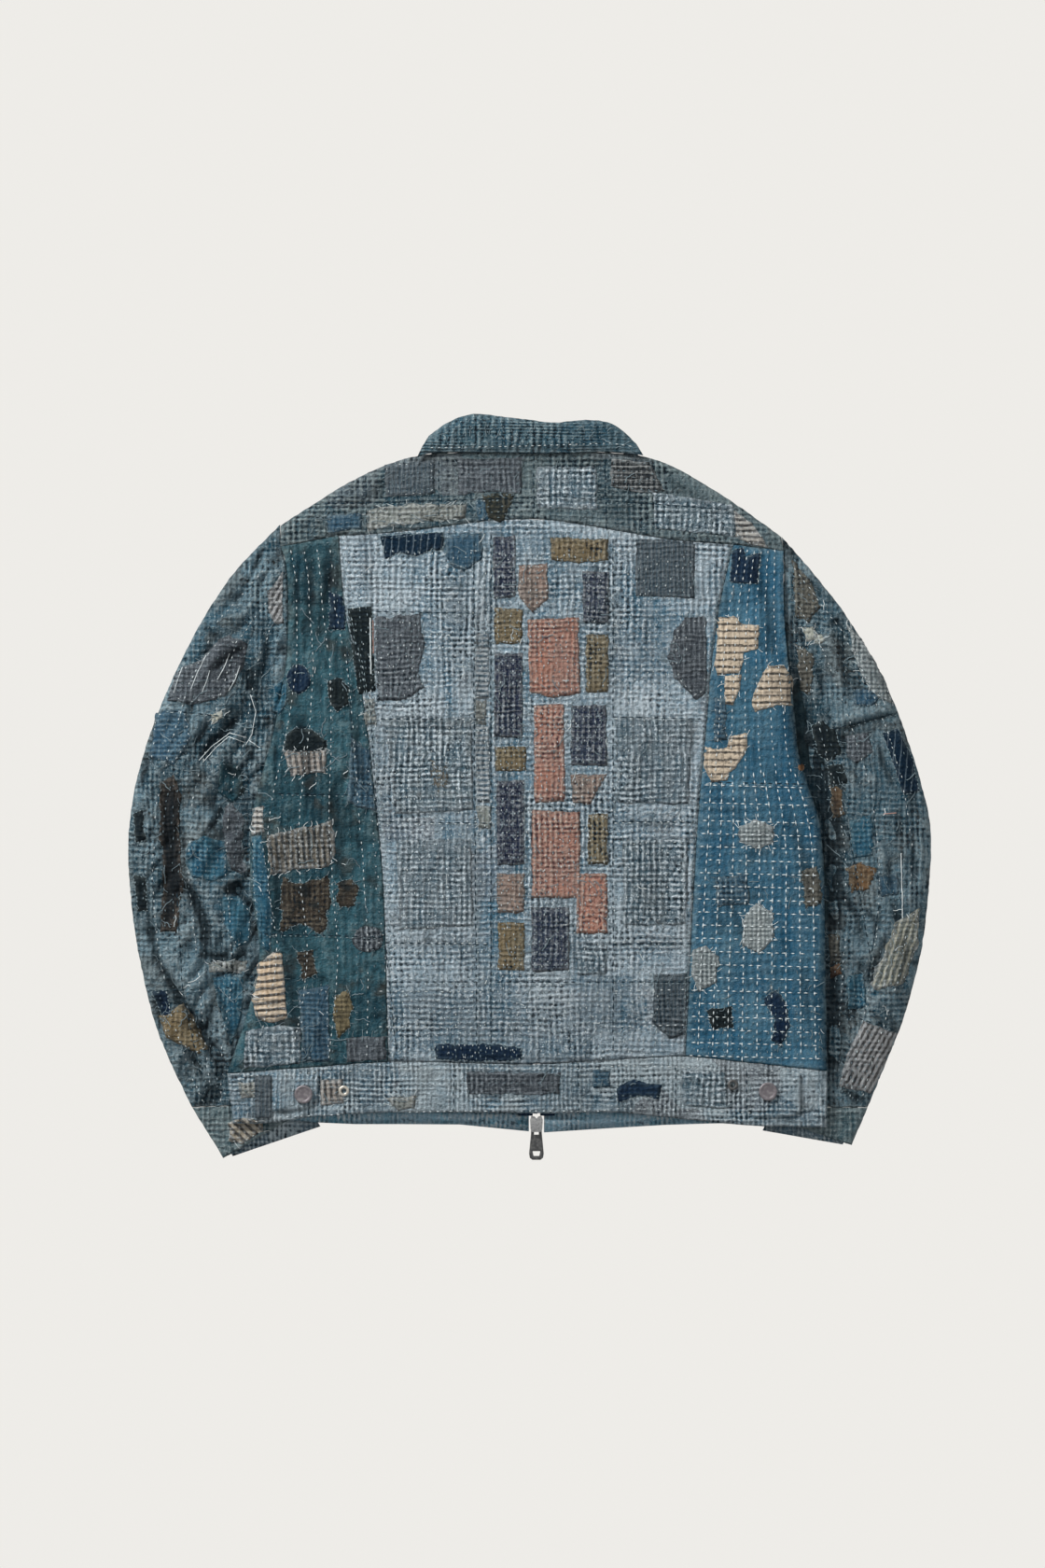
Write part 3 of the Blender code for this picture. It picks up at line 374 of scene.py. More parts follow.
CREAM = (0.56, 0.46, 0.34)
BLACK = (0.03, 0.028, 0.026)
GAUZE = dict(pale=(0.62, 0.7, 0.74), pitch=(5.5, 5.1), pucker=(0.88, 0.64), bump=0.9,
             flecks=0.85, wear_and_highlight=0.6, accent=(0.2, 0.2, 0.215))
LOOKS = {
    "gauze": dict(base=(0.07, 0.18, 0.262), second=(0.32, 0.395, 0.44), bands=(44, 1.0), blocks=0.36,
                  **GAUZE),
    "collar": dict(base=(0.02, 0.075, 0.115), second=(0.06, 0.12, 0.15), thread=0.22, bands=(80, 0.7),
                   pale=(0.3, 0.38, 0.4), pitch=(6.6, 3.0), pucker=(0.6, 0.85), bump=0.9),
    "yoke": dict(base=(0.024, 0.072, 0.104), second=(0.105, 0.148, 0.158), thread=0.32, bands=(75, 0.9),
                 pale=(0.34, 0.4, 0.4), pitch=(5.6, 4.8), pucker=(0.5, 0.78), bump=0.9, blocks=0.4,
                 flecks=0.5),
    "teal": dict(base=(0.014, 0.062, 0.09), second=(0.035, 0.1, 0.125), thread=0.14, bands=(55, 0.8),
                 accent=(0.01, 0.028, 0.04), pale=(0.2, 0.29, 0.3), dark=(0.006, 0.014, 0.018),
                 pitch=(7.0, 16.0), pucker=(0.1, 0.3), bump=0.8, stain=((0.05, 0.04, 0.028), 36, 0.6),
                 wear_and_highlight=0.3, blocks=0.35),
    "blue": dict(base=(0.02, 0.094, 0.164), second=(0.06, 0.152, 0.217), thread=0.12, bands=(60, 0.8),
                 pale=(0.24, 0.34, 0.37), dark=(0.006, 0.02, 0.035), pitch=(6.4, 9.0), pucker=(0.1, 0.22),
                 bump=0.6, accent=(0.02, 0.07, 0.11), wear_and_highlight=0.3, blocks=0.2),
    "sleeve": dict(base=(0.014, 0.078, 0.122), second=(0.095, 0.16, 0.195), accent=(0.04, 0.1, 0.14),
                   bands=(80, 0.9), pale=(0.36, 0.44, 0.46), pitch=(4.8, 5.4), pucker=(0.45, 0.7),
                   bump=0.9, flecks=0.6, stain=((0.07, 0.06, 0.045), 30, 0.45), wear_and_highlight=0.5, blocks=0.6),
    "band": dict(base=(0.1, 0.2, 0.275), second=(0.3, 0.36, 0.385), thread=0.32, bands=(95, 0.9),
                 pale=(0.56, 0.64, 0.67), pitch=(4.2, 4.6), pucker=(0.75, 0.65), bump=0.9, blocks=0.5,
                 flecks=0.8),
    "hem": dict(base=(0.11, 0.29, 0.39), second=(0.27, 0.41, 0.5), bands=(95, 0.8),
                pale=(0.5, 0.58, 0.61), pitch=(4.4, 9.0), pucker=(0.8, 0.5), bump=0.9, flecks=0.7),
    "cuff": dict(base=(0.04, 0.09, 0.11), second=(0.14, 0.19, 0.2), bands=(80, 0.8),
                 pale=(0.36, 0.42, 0.42), pitch=(4.8, 5.4), pucker=(0.4, 0.4), bump=0.8, flecks=0.5),
    "navy": dict(base=(0.004, 0.013, 0.034), second=(0.008, 0.024, 0.05), thread=0.08,
                 pale=(0.1, 0.15, 0.18), pucker=(0.1, 0.4), flecks=0.1),
    "navy_soft": dict(base=(0.02, 0.06, 0.1), second=(0.045, 0.095, 0.13), thread=0.2,
                      pale=(0.2, 0.26, 0.28), pucker=(0.35, 0.6)),
    "blue_bright": dict(base=(0.012, 0.065, 0.11), second=(0.03, 0.1, 0.14), thread=0.14,
                        pale=(0.2, 0.3, 0.33)),
    "navy_stripe": dict(base=(0.003, 0.014, 0.03), second=(0.006, 0.018, 0.034), thread=0.03,
                        pale=(0.12, 0.16, 0.19), pucker=(0.1, 0.4), flecks=0.1,
                        stripes=[(6, 6.6, 0.15, (0.12, 0.16, 0.19), 0.7)]),
    "black": dict(base=(0.005, 0.009, 0.011), second=(0.009, 0.016, 0.019), thread=0.06,
                  pale=(0.1, 0.12, 0.12), pucker=(0.12, 0.4), flecks=0.12),
    "brown_black": dict(base=(0.02, 0.017, 0.014), second=(0.04, 0.034, 0.028), thread=0.2,
                        bands=(160, 0.7), pale=(0.16, 0.14, 0.12)),
    "grey_brown": dict(base=(0.055, 0.066, 0.078), second=(0.1, 0.12, 0.138), thread=0.34,
                       pale=(0.32, 0.36, 0.385), pucker=(0.5, 0.65), bump=0.9, flecks=0.4),
    "brown": dict(base=(0.038, 0.03, 0.023), second=(0.06, 0.05, 0.038), thread=0.25,
                  pale=(0.22, 0.2, 0.16), pucker=(0.3, 0.7), bump=0.9,
                  stain=((0.012, 0.02, 0.024), 60, 0.8)),
    "brown_soft": dict(base=(0.085, 0.09, 0.08), second=(0.15, 0.135, 0.11), pale=(0.3, 0.3, 0.26),
                       pucker=(0.55, 0.7), bump=0.9),
    "olive": dict(base=(0.01, 0.016, 0.018), second=(0.024, 0.024, 0.016), thread=0.12,
                  pale=(0.16, 0.15, 0.11), flecks=0.15),
    "pinstripe": dict(base=(0.045, 0.075, 0.098), second=(0.08, 0.105, 0.12), thread=0.25,
                      pale=(0.3, 0.34, 0.36), pucker=(0.35, 0.6), bump=0.9,
                      stripes=[(0, 3.4, 0.3, (0.16, 0.18, 0.185), 0.5)]),
    "ladder": dict(base=(0.05, 0.11, 0.16), second=(0.12, 0.18, 0.22), thread=0.2, bump=0.9,
                   stripes=[(90, 4.6, 0.5, (0.6, 0.66, 0.68), 0.85)]),
    "pin_soft": dict(base=(0.09, 0.15, 0.19), second=(0.2, 0.24, 0.26), bands=(90, 0.8),
                     stripes=[(0, 4.9, 0.4, (0.05, 0.1, 0.13), 0.5)], **GAUZE),
    "dash_dark": dict(base=(0.012, 0.015, 0.017), second=(0.022, 0.025, 0.027), thread=0.1,
                      pucker=(0.15, 0.4), stripes=[(90, 6.2, 0.14, (0.3, 0.31, 0.3), 0.7)]),
    "check_soft": dict(base=(0.1, 0.165, 0.205), second=(0.22, 0.26, 0.27), bands=(70, 0.8),
                       stripes=[(0, 9.0, 0.4, (0.03, 0.08, 0.115), 0.5),
                                (90, 9.4, 0.4, (0.03, 0.08, 0.115), 0.5)],
                       **GAUZE),
    "bars": dict(base=(0.4, 0.38, 0.34), second=(0.3, 0.29, 0.27), thread=0.15,
                 stripes=[(90, 5.4, 0.5, BLACK, 0.93)]),
    "ticking": dict(base=CREAM, second=(0.46, 0.38, 0.29), thread=0.12, pale=(0.66, 0.59, 0.49),
                    bands=(60, 0.5),
                    stripes=[(90, 6.6, 0.32, BLACK, 0.92), (0, 7.4, 0.12, (0.16, 0.12, 0.09), 0.5)]),
    "ticking_down": dict(base=(0.33, 0.29, 0.25), second=(0.22, 0.2, 0.18), thread=0.15,
                         stripes=[(-6, 5.6, 0.48, BLACK, 0.92)]),
    "ticking_cuff": dict(base=(0.33, 0.29, 0.22), second=(0.22, 0.19, 0.15), thread=0.15,
                         stripes=[(-48, 6.2, 0.45, BLACK, 0.9)]),
    "ticking_tan": dict(base=(0.155, 0.13, 0.095), second=(0.09, 0.083, 0.068), thread=0.15,
                        stripes=[(-8, 6.0, 0.46, (0.015, 0.018, 0.018), 0.9)]),
    "roll": dict(base=(0.56, 0.4, 0.25), second=(0.55, 0.48, 0.38), thread=0.1,
                 stripes=[(84, 6.6, 0.42, BLACK, 0.93)]),
    "diagonal": dict(base=(0.3, 0.3, 0.3), second=(0.17, 0.18, 0.19), thread=0.15,
                     stripes=[(30, 5.0, 0.5, BLACK, 0.92)]),
    "ochre": dict(base=(0.1, 0.08, 0.045), second=(0.06, 0.06, 0.045), thread=0.25,
                  pale=(0.36, 0.3, 0.18)),
    "ochre_soft": dict(base=(0.2, 0.15, 0.08), second=(0.14, 0.135, 0.1), thread=0.25,
                       pale=(0.4, 0.36, 0.27), pucker=(0.6, 0.75), bump=0.9),
    "gingham": dict(base=(0.34, 0.38, 0.37), second=(0.22, 0.28, 0.29), thread=0.2,
                    stripes=[(0, 3.8, 0.5, (0.06, 0.08, 0.09), 0.6),
                             (90, 3.8, 0.5, (0.06, 0.08, 0.09), 0.6)]),
    "green_lines": dict(base=(0.085, 0.1, 0.09), second=(0.13, 0.13, 0.1), thread=0.2,
                        stripes=[(18, 5.6, 0.36, (0.38, 0.37, 0.29), 0.8)]),
    "salmon": dict(base=(0.44, 0.2, 0.14), second=(0.3, 0.19, 0.16), pale=(0.58, 0.45, 0.38),
                   dark=(0.09, 0.045, 0.05), pucker=(0.7, 0.7), bands=(70, 0.7), bump=0.9),
    "salmon_soft": dict(base=(0.3, 0.2, 0.155), second=(0.2, 0.18, 0.16), pale=(0.5, 0.43, 0.38),
                        dark=(0.06, 0.05, 0.055), pucker=(0.75, 0.75), bands=(70, 0.9), bump=0.9),
    "indigo_crosses": dict(base=(0.012, 0.02, 0.05), second=(0.035, 0.055, 0.09), thread=0.2,
                           pucker=(0.35, 0.6), crosses=(10.0, (0.3, 0.35, 0.39)), bump=0.9),
    "rust": dict(base=(0.3, 0.12, 0.035), second=(0.16, 0.08, 0.04), thread=0.2, pale=(0.4, 0.3, 0.2)),
    "rust_soft": dict(base=(0.13, 0.065, 0.025), second=(0.06, 0.055, 0.04), thread=0.2,
                      pale=(0.3, 0.25, 0.18)),
    "cream": dict(base=(0.42, 0.42, 0.34), second=(0.28, 0.3, 0.26), thread=0.2),
    "cream_soft": dict(base=(0.24, 0.27, 0.25), second=(0.34, 0.34, 0.3), pucker=(0.6, 0.7), bump=0.9),
}
MATERIALS = {}


def look(name):
    if name not in MATERIALS:
        MATERIALS[name] = cloth(name, **LOOKS[name])
    return MATERIALS[name]


# Cut panels: each is the upper face of its wall, made finer, with the
# crumples and creases of worn quilted cotton and a turned-down cut edge.
CLOTH_WELD = 2e-5
RIM_REACH = 7
RIM_SINK = 0.8
EDGE_DROP = 1.9
ARMHOLE_DROP = 4.2
# painted shade on the turned-down cut edge of each panel
EDGE_SHADE = 0.6
PANELS = [
    # node, look, subdivisions, crumple mm, crumple size mm, slant degrees
    ("back_centre", "gauze", 3, 0.5, 15, 80), ("back_side_left", "teal", 4, 1.3, 19, 98),
    ("back_side_right", "blue", 3, 0.6, 22, 95), ("back_yoke", "yoke", 3, 0.55, 15, 10),
    ("waistband_back", "band", 3, 0.55, 11, 5), ("collar_fall", "collar", 3, 0.45, 10, 90),
    ("collar_stand", "collar", 2, 0.2, 14, 0), ("sleeve_left", "sleeve", 4, 2.1, 20, 62),
    ("sleeve_right", "sleeve", 4, 1.8, 21, 112), ("cuff_left", "cuff", 3, 0.6, 14, 45),
    ("cuff_right", "cuff", 3, 0.5, 14, 130),
]
CREASES = [
    # depth mm (plus is a ridge), half width mm, then x, y of the line it follows
    (-2.2, 4, 266, 690, 248, 702, 226, 721), (-2.6, 6, 264, 712, 272, 745), (1.4, 5, 252, 731, 232, 760),
    (-3.0, 4.5, 266, 757, 240, 786, 216, 812), (2.2, 4, 252, 792, 234, 806, 218, 822),
    (-3.0, 5, 242, 818, 262, 836), (-1.8, 3.5, 262, 796, 274, 817), (-2.0, 4, 226, 772, 208, 800),
    (-2.6, 3.5, 241, 862, 223, 894), (1.8, 4, 230, 870, 214, 896),
    (-1.8, 3, 224, 900, 236, 910, 252, 918), (-3.2, 8, 184, 832, 181, 890, 186, 960, 178, 1002),
    (2.0, 7, 204, 850, 206, 930), (-3.2, 4.5, 194, 938, 208, 962, 221, 995, 218, 1032),
    (2.2, 5, 206, 936, 222, 962, 236, 1000), (-4.0, 4.5, 240, 955, 258, 951),
    (-2.0, 3.5, 256, 956, 273, 976), (-1.6, 3, 208, 1022, 268, 1030),
    (-3.2, 5, 166, 1024, 186, 1056, 206, 1088, 236, 1140, 238, 1160),
    (1.8, 5, 176, 1006, 196, 1060, 222, 1096), (-1.8, 2.6, 229, 1050, 242, 1090, 251, 1131),
    (1.2, 4, 243, 1052, 256, 1100), (-1.6, 4, 150, 925, 160, 990, 172, 1046),
    (1.4, 5, 148, 850, 152, 930), (-1.4, 4, 158, 800, 150, 850), (-1.4, 4, 182, 750, 214, 760),
    (1.2, 5, 186, 780, 206, 746), (-1.3, 4, 212, 660, 240, 640, 262, 640), (1.3, 4, 240, 664, 268, 652),
    (-1.5, 3.5, 216, 668, 236, 686), (-1.6, 4, 282, 662, 286, 700, 276, 742),
    (1.4, 5, 188, 960, 192, 1010), (-1.5, 4, 180, 1110, 206, 1130, 226, 1172),
    (1.2, 4, 206, 1108, 224, 1140), (-1.4, 3, 245, 905, 262, 896), (1.6, 4, 244, 968, 262, 990),
    (-1.6, 4, 262, 1000, 250, 1048), (-2.6, 5.5, 850, 704, 856, 744, 860, 786, 878, 842),
    (-1.5, 3.5, 846, 657, 858, 677, 866, 700), (-1.3, 2.5, 866, 619, 884, 641),
    (-1.3, 2.5, 872, 612, 892, 636), (-1.4, 3, 884, 673, 906, 661),
    (-1.8, 4, 903, 676, 902, 712, 911, 746), (1.8, 6, 890, 694, 902, 742), (-1.5, 4, 876, 706, 884, 750),
    (1.6, 3, 893, 775, 930, 764, 964, 756), (-2.2, 2.5, 896, 784, 932, 772, 966, 764),
    (-2.8, 4.5, 866, 780, 878, 812, 888, 841), (1.2, 4, 880, 790, 906, 800),
    (-1.4, 3, 903, 782, 904, 816), (-1.6, 3.5, 938, 790, 948, 820, 962, 850),
    (1.4, 5, 958, 782, 974, 830), (-1.3, 3, 966, 790, 982, 840),
    (-3.2, 8, 890, 850, 893, 900, 896, 960, 893, 1010), (-1.8, 4, 905, 953, 920, 985, 925, 1012),
    (-1.6, 3, 925, 973, 939, 986, 938, 1011), (1.6, 5, 930, 946, 934, 970),
    (-1.8, 4, 955, 994, 942, 1024, 931, 1052), (-1.5, 4, 972, 990, 970, 1030, 962, 1072),
    (1.4, 4, 964, 1000, 952, 1046), (-1.7, 3, 951, 916, 955, 956), (1.3, 4, 944, 880, 946, 940),
    (-1.4, 4, 962, 866, 966, 900), (-2.8, 7, 894, 1050, 896, 1100, 894, 1156),
    (-1.5, 4, 918, 1040, 914, 1090), (1.5, 4, 928, 1056, 930, 1100), (-1.6, 3, 899, 1166, 933, 1184),
    (-1.6, 4, 976, 880, 982, 950), (1.3, 4, 986, 890, 988, 960), (-1.4, 3, 940, 720, 962, 762),
    (-1.8, 5, 330, 586, 334, 640, 326, 700), (1.6, 5, 342, 584, 348, 660),
    (-1.6, 4, 356, 590, 352, 640, 344, 690), (-1.5, 4, 318, 612, 316, 660),
    (-1.4, 5, 312, 760, 330, 800, 330, 850), (1.3, 5, 380, 770, 376, 830), (-1.4, 4, 360, 840, 366, 900),
    (-1.6, 5, 296, 900, 300, 960, 292, 1010), (1.5, 4, 280, 900, 284, 960, 282, 1012),
    (-1.5, 4, 310, 1040, 316, 1090, 330, 1136), (1.3, 5, 396, 960, 398, 1040),
    (-1.2, 4, 340, 1100, 352, 1136), (-1.2, 6, 806, 600, 824, 650, 828, 700),
    (-1.3, 6, 846, 872, 862, 920, 868, 980), (-1.2, 5, 780, 960, 800, 1010),
    (1.1, 6, 772, 1000, 786, 1060), (-1.0, 5, 826, 880, 800, 930), (-1.1, 5, 860, 1030, 866, 1100),
    (-0.9, 5, 480, 1132, 560, 1136, 640, 1134), (-1.0, 5, 430, 500, 400, 530, 370, 548),
    (-0.9, 5, 700, 505, 740, 530, 776, 550), (0.9, 6, 560, 600, 556, 700),
    (-0.9, 5, 516, 640, 514, 760, 518, 860), (-0.9, 5, 420, 772, 470, 778, 520, 772),
    (-0.8, 5, 660, 880, 700, 884, 740, 880), (0.8, 6, 668, 700, 664, 800),
    (-0.9, 4, 410, 1012, 470, 1010, 520, 1014), (-0.8, 4, 650, 1012, 700, 1010, 738, 1014),
    (-0.8, 4, 480, 900, 450, 960), (0.8, 5, 430, 820, 470, 850), (-0.9, 5, 700, 780, 680, 850),
    (-1.2, 3, 450, 485, 560, 481, 690, 482), (-0.9, 3, 520, 448, 524, 474), (-0.8, 3, 640, 452, 646, 474),
    (-0.9, 3, 300, 1154, 306, 1196), (-0.8, 3, 590, 1142, 588, 1180), (-1.0, 4, 660, 1186, 710, 1190),
]
SHADES = [
    # darkness, half width mm, line: painted shade in fold hollows, in gaps and in the shadow beside the
    # body's edges over the sleeves, with a few broad darker zones on the middle panel
    (1.0, 14, 850, 716, 856, 760, 864, 796, 880, 840, 892, 880, 895, 940, 893, 1000),
    (1.0, 12, 893, 1000, 894, 1060, 895, 1120, 893, 1160), (0.75, 3, 318, 598, 320, 650, 312, 700),
    (0.75, 3.5, 334, 590, 334, 640, 326, 692), (0.7, 3, 351, 584, 347, 640, 338, 690),
    (0.6, 3, 362, 610, 358, 650, 350, 690), (0.6, 4, 378, 760, 382, 800, 392, 850),
    (0.6, 5, 356, 862, 366, 900, 360, 940), (0.6, 3, 300, 1000, 312, 1020, 316, 1090),
    (0.7, 4, 252, 745, 238, 780, 218, 806), (0.7, 4, 262, 712, 272, 746),
    (0.95, 4.5, 197, 942, 210, 962, 222, 995, 219, 1034),
    (0.7, 5, 168, 1026, 188, 1058, 208, 1090, 237, 1142), (0.6, 3, 230, 1052, 243, 1092, 251, 1131),
    (0.7, 4, 241, 862, 223, 894), (0.7, 5, 244, 818, 262, 836), (0.95, 10, 184, 838, 182, 890, 186, 966),
    (0.7, 5, 147, 872, 148, 905), (0.7, 5, 148, 936, 152, 980), (0.8, 6, 164, 1056, 172, 1092),
    (0.9, 5, 242, 818, 250, 828, 262, 834), (0.7, 6, 268, 700, 276, 740, 270, 770),
    (0.6, 6, 262, 830, 262, 880, 258, 930), (1.0, 5, 240, 951, 254, 946, 263, 957),
    (0.5, 6, 268, 960, 272, 1010, 264, 1060), (0.5, 5, 140, 925, 150, 985), (0.45, 8, 330, 600, 340, 680),
    (0.4, 9, 352, 840, 372, 900), (0.45, 9, 310, 990, 330, 1040), (0.4, 7, 446, 492, 560, 490, 690, 491),
    (0.35, 7, 390, 560, 394, 640), (0.35, 7, 520, 620, 516, 760),
    (0.26, 34, 430, 1086, 520, 1092, 735, 1086), (0.3, 12, 404, 770, 414, 900),
    (0.3, 12, 486, 600, 494, 740), (0.28, 16, 700, 650, 700, 720), (0.3, 9, 440, 1010, 520, 1020),
    (0.3, 10, 668, 1010, 735, 1012), (0.25, 14, 690, 900, 700, 990), (0.3, 6, 508, 880, 512, 1000),
    (0.3, 6, 660, 640, 662, 760), (0.3, 8, 868, 1040, 872, 1120),
]
PALER = [
    # how rubbed, half width mm, line: places that the sun and rubbing have bleached
    (1.0, 17, 170, 1040, 192, 1100, 214, 1150), (0.8, 12, 236, 1070, 236, 1120),
    (0.6, 12, 206, 930, 214, 1000), (0.8, 20, 944, 1010, 930, 1080, 912, 1150),
    (0.5, 12, 150, 930, 152, 1000), (0.6, 30, 726, 700, 716, 860, 712, 980),
    (0.5, 20, 430, 640, 450, 700), (0.5, 14, 800, 1165, 860, 1172), (0.5, 16, 930, 700, 950, 740),
    (1.0, 20, 468, 936, 480, 974), (0.9, 5, 515, 600, 515, 900), (0.8, 26, 690, 745, 688, 860),
    (0.7, 14, 640, 560, 700, 600), (0.7, 16, 440, 790, 470, 850), (0.7, 16, 690, 1060, 700, 1100),
    (0.5, 10, 560, 1060, 640, 1070), (0.6, 8, 505, 900, 505, 1010), (0.5, 14, 470, 1156, 540, 1160),
]


def far_from(points, line):
    best = np.full(len(points), 1e9)
    ends = np.zeros(len(points))
    legs = pairs(line)
    for k, (p, q) in enumerate(zip(legs, legs[1:])):
        a, b = np.array(at(*p)), np.array(at(*q))
        leg = b - a
        t = np.clip(((points - a) @ leg) / (leg @ leg), 0, 1)
        away = np.linalg.norm(points - a - t[:, None] * leg, axis=1)
        ends = np.where(away < best, (k + t) / (len(legs) - 1), ends)
        best = np.minimum(best, away)
    return best, ends


def creases_at(points):
    rise = np.zeros(len(points))
    for depth, half, *line in CREASES:
        away, t = far_from(points, line)
        fade = np.minimum(1, 0.2 + 3.2 * np.minimum(t, 1 - t))
        rise += depth * MM * np.exp(-(away / (half * MM)) ** 2) * fade
    return rise


def shades_at(points):
    dark = np.zeros(len(points))
    for amount, half, *line in SHADES:
        away, t = far_from(points, line)
        fade = np.minimum(1, 0.4 + 3.0 * np.minimum(t, 1 - t))
        dark = np.maximum(dark, amount * np.exp(-(away / (half * MM)) ** 2) * fade)
    return dark


def paler_at(points):
    rubbed = np.zeros(len(points))
    for amount, half, *line in PALER:
        rubbed = np.maximum(rubbed, amount * np.exp(-(far_from(points, line)[0] / (half * MM)) ** 2))
    return rubbed


def crumple(x, y, size, slant, seed):
    """Ridged folds in two sizes, longer along the slant than across it."""
    c, n = math.cos(slant), math.sin(slant)
    a, b = (x * c + y * n) / 2.1, y * c - x * n
    p = Vector((a / (size * MM), b / (size * MM), seed))
    q = Vector((x / (size * 0.4 * MM), y / (size * 0.4 * MM), seed + 7))
    ridge = 1.0 - 2.8 * abs(noise.noise(p))
    valley = 1.0 - 2.8 * abs(noise.noise(p * 1.25 + Vector((13, 5, 2))))
    return ridge - 1.05 * max(-0.2, valley) + 0.45 * noise.noise(q)


def ripple(x, y):
    """Small drift of the cut lines, the same for neighbours that share a seam."""
    p = Vector((x / (5 * MM), y / (5 * MM), 3.3))
    return 0.55 * MM * noise.noise(p), 0.55 * MM * noise.noise(p + Vector((9, 4, 1)))


def link(name, mesh, material):
    ob = bpy.data.objects.new(name, mesh)
    bpy.context.scene.collection.objects.link(ob)
    mesh.materials.clear()
    mesh.materials.append(material)
    mesh.shade_smooth()
    return ob


def open_mesh(mesh, weld=0):
    bm = bmesh.new()
    bm.from_mesh(mesh)
    if weld:
        bmesh.ops.remove_doubles(bm, verts=bm.verts, dist=weld)
    bm.verts.ensure_lookup_table()
    return bm


def close_mesh(bm, name):
    mesh = bpy.data.meshes.new(name)
    bm.to_mesh(mesh)
    bm.free()
    return mesh


def upper_face(source, levels):
    """The top of a wall as quads, subdivided; its outline keeps its corners."""
    bm = open_mesh(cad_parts[source].data, CLOTH_WELD)
    bm.normal_update()
    low = [f for f in bm.faces if f.normal.z < 0.2]
    bmesh.ops.delete(bm, geom=low, context="FACES")
    bmesh.ops.join_triangles(bm, faces=bm.faces, angle_face_threshold=1.0, angle_shape_threshold=2.0)
    ob = bpy.data.objects.new("rough", close_mesh(bm, "rough"))
    bpy.context.scene.collection.objects.link(ob)
    mod = ob.modifiers.new("finer", "SUBSURF")
    mod.levels = mod.render_levels = levels
    mod.boundary_smooth = "PRESERVE_CORNERS"
    fine = bpy.data.meshes.new_from_object(ob.evaluated_get(bpy.context.evaluated_depsgraph_get()))
    bpy.data.objects.remove(ob)
    return fine


def near_edge(bm, reach):
    edge = {v for e in bm.edges if e.is_boundary for v in e.verts}
    tree = kdtree.KDTree(len(edge))
    for k, v in enumerate(edge):
        tree.insert((v.co.x, v.co.y, 0), k)
    tree.balance()
    return [max(0.0, 1 - tree.find((v.co.x, v.co.y, 0))[2] / reach) for v in bm.verts]


def skirt(bm, drop):
    """Turn the cut edge down."""
    edges = [e for e in bm.edges if e.is_boundary]
    made = bmesh.ops.extrude_edge_only(bm, edges=edges)["geom"]
    for v in [g for g in made if isinstance(g, bmesh.types.BMVert)]:
        v.co.z = max(v.co.z - drop, 0.1 * MM)


def finish_mesh(bm, name, rim_values, material):
    layer = bm.verts.layers.float.new("rim")
    bm.verts.ensure_lookup_table()
    for v, value in zip(bm.verts, rim_values):
        v[layer] = value
    return link(name, close_mesh(bm, name), material)


def store(mesh, name, values):
    layer = mesh.attributes.new(name, "FLOAT", "POINT")
    layer.data.foreach_set("value", np.clip(np.array(values, dtype=float), 0, 1))


def edged(bm, name, rim, drop, style):
    """A cloth with its edge turned down, and the count of points in that edge."""
    start = len(bm.verts)
    skirt(bm, drop * MM)
    more = len(bm.verts) - start
    return finish_mesh(bm, name, list(rim) + [1.0] * more, look(style)), more


def panel(source, style, levels, rise, size, slant, seed):
    bm = open_mesh(upper_face(source, levels))
    rim = near_edge(bm, RIM_REACH * MM)
    points = np.array([v.co[:2] for v in bm.verts])
    fold_shade, wear_and_highlight = [], []
    for v, r, bend, dark, rubbed in zip(bm.verts, rim, creases_at(points), shades_at(points),
                                        paler_at(points)):
        calm = 1 - r * 0.8
        c = crumple(v.co.x, v.co.y, size, math.radians(slant), seed)
        v.co.z += bend * calm + rise * MM * c * calm
        v.co.z -= RIM_SINK * MM * max(0.0, r - 0.55) / 0.45
        dx, dy = ripple(v.co.x, v.co.y)
        v.co.x += dx
        v.co.y += dy
        # low is painted shade in crease and crumple hollows; with the SHADES shade and a band along the cut
        # edge it makes the fold attribute
        low = -bend / (2.2 * MM) + min(1.0, rise * 0.5) * max(0.0, -0.5 - c)
        # high is painted highlight on crease and crumple ridges, added to the real rubbed wear from PALER
        high = max(0.0, bend / (2 * MM)) + min(1.0, rise * 0.7) * max(0.0, c - 0.35) * 1.6
        fold_shade.append(max(dark, min(0.95, max(0.0, low))) + 0.3 * max(0.0, r - 0.75) / 0.25)
        wear_and_highlight.append(rubbed + high)
    drop = ARMHOLE_DROP if "side" in source or "sleeve" in source else EDGE_DROP
    made, more = edged(bm, "cloth_" + source, rim, drop, style)
    store(made.data, "fold_shade", fold_shade + [EDGE_SHADE] * more)
    store(made.data, "wear_and_highlight", wear_and_highlight + [0.0] * more)
    return made


panels = {}
for seed, (source, style, levels, rise, size, slant) in enumerate(PANELS):
    made = panel(source, style, levels, rise, size, slant, seed * 3.1)
    panels[source] = made
    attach(made, "jacket")
    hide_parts(source)


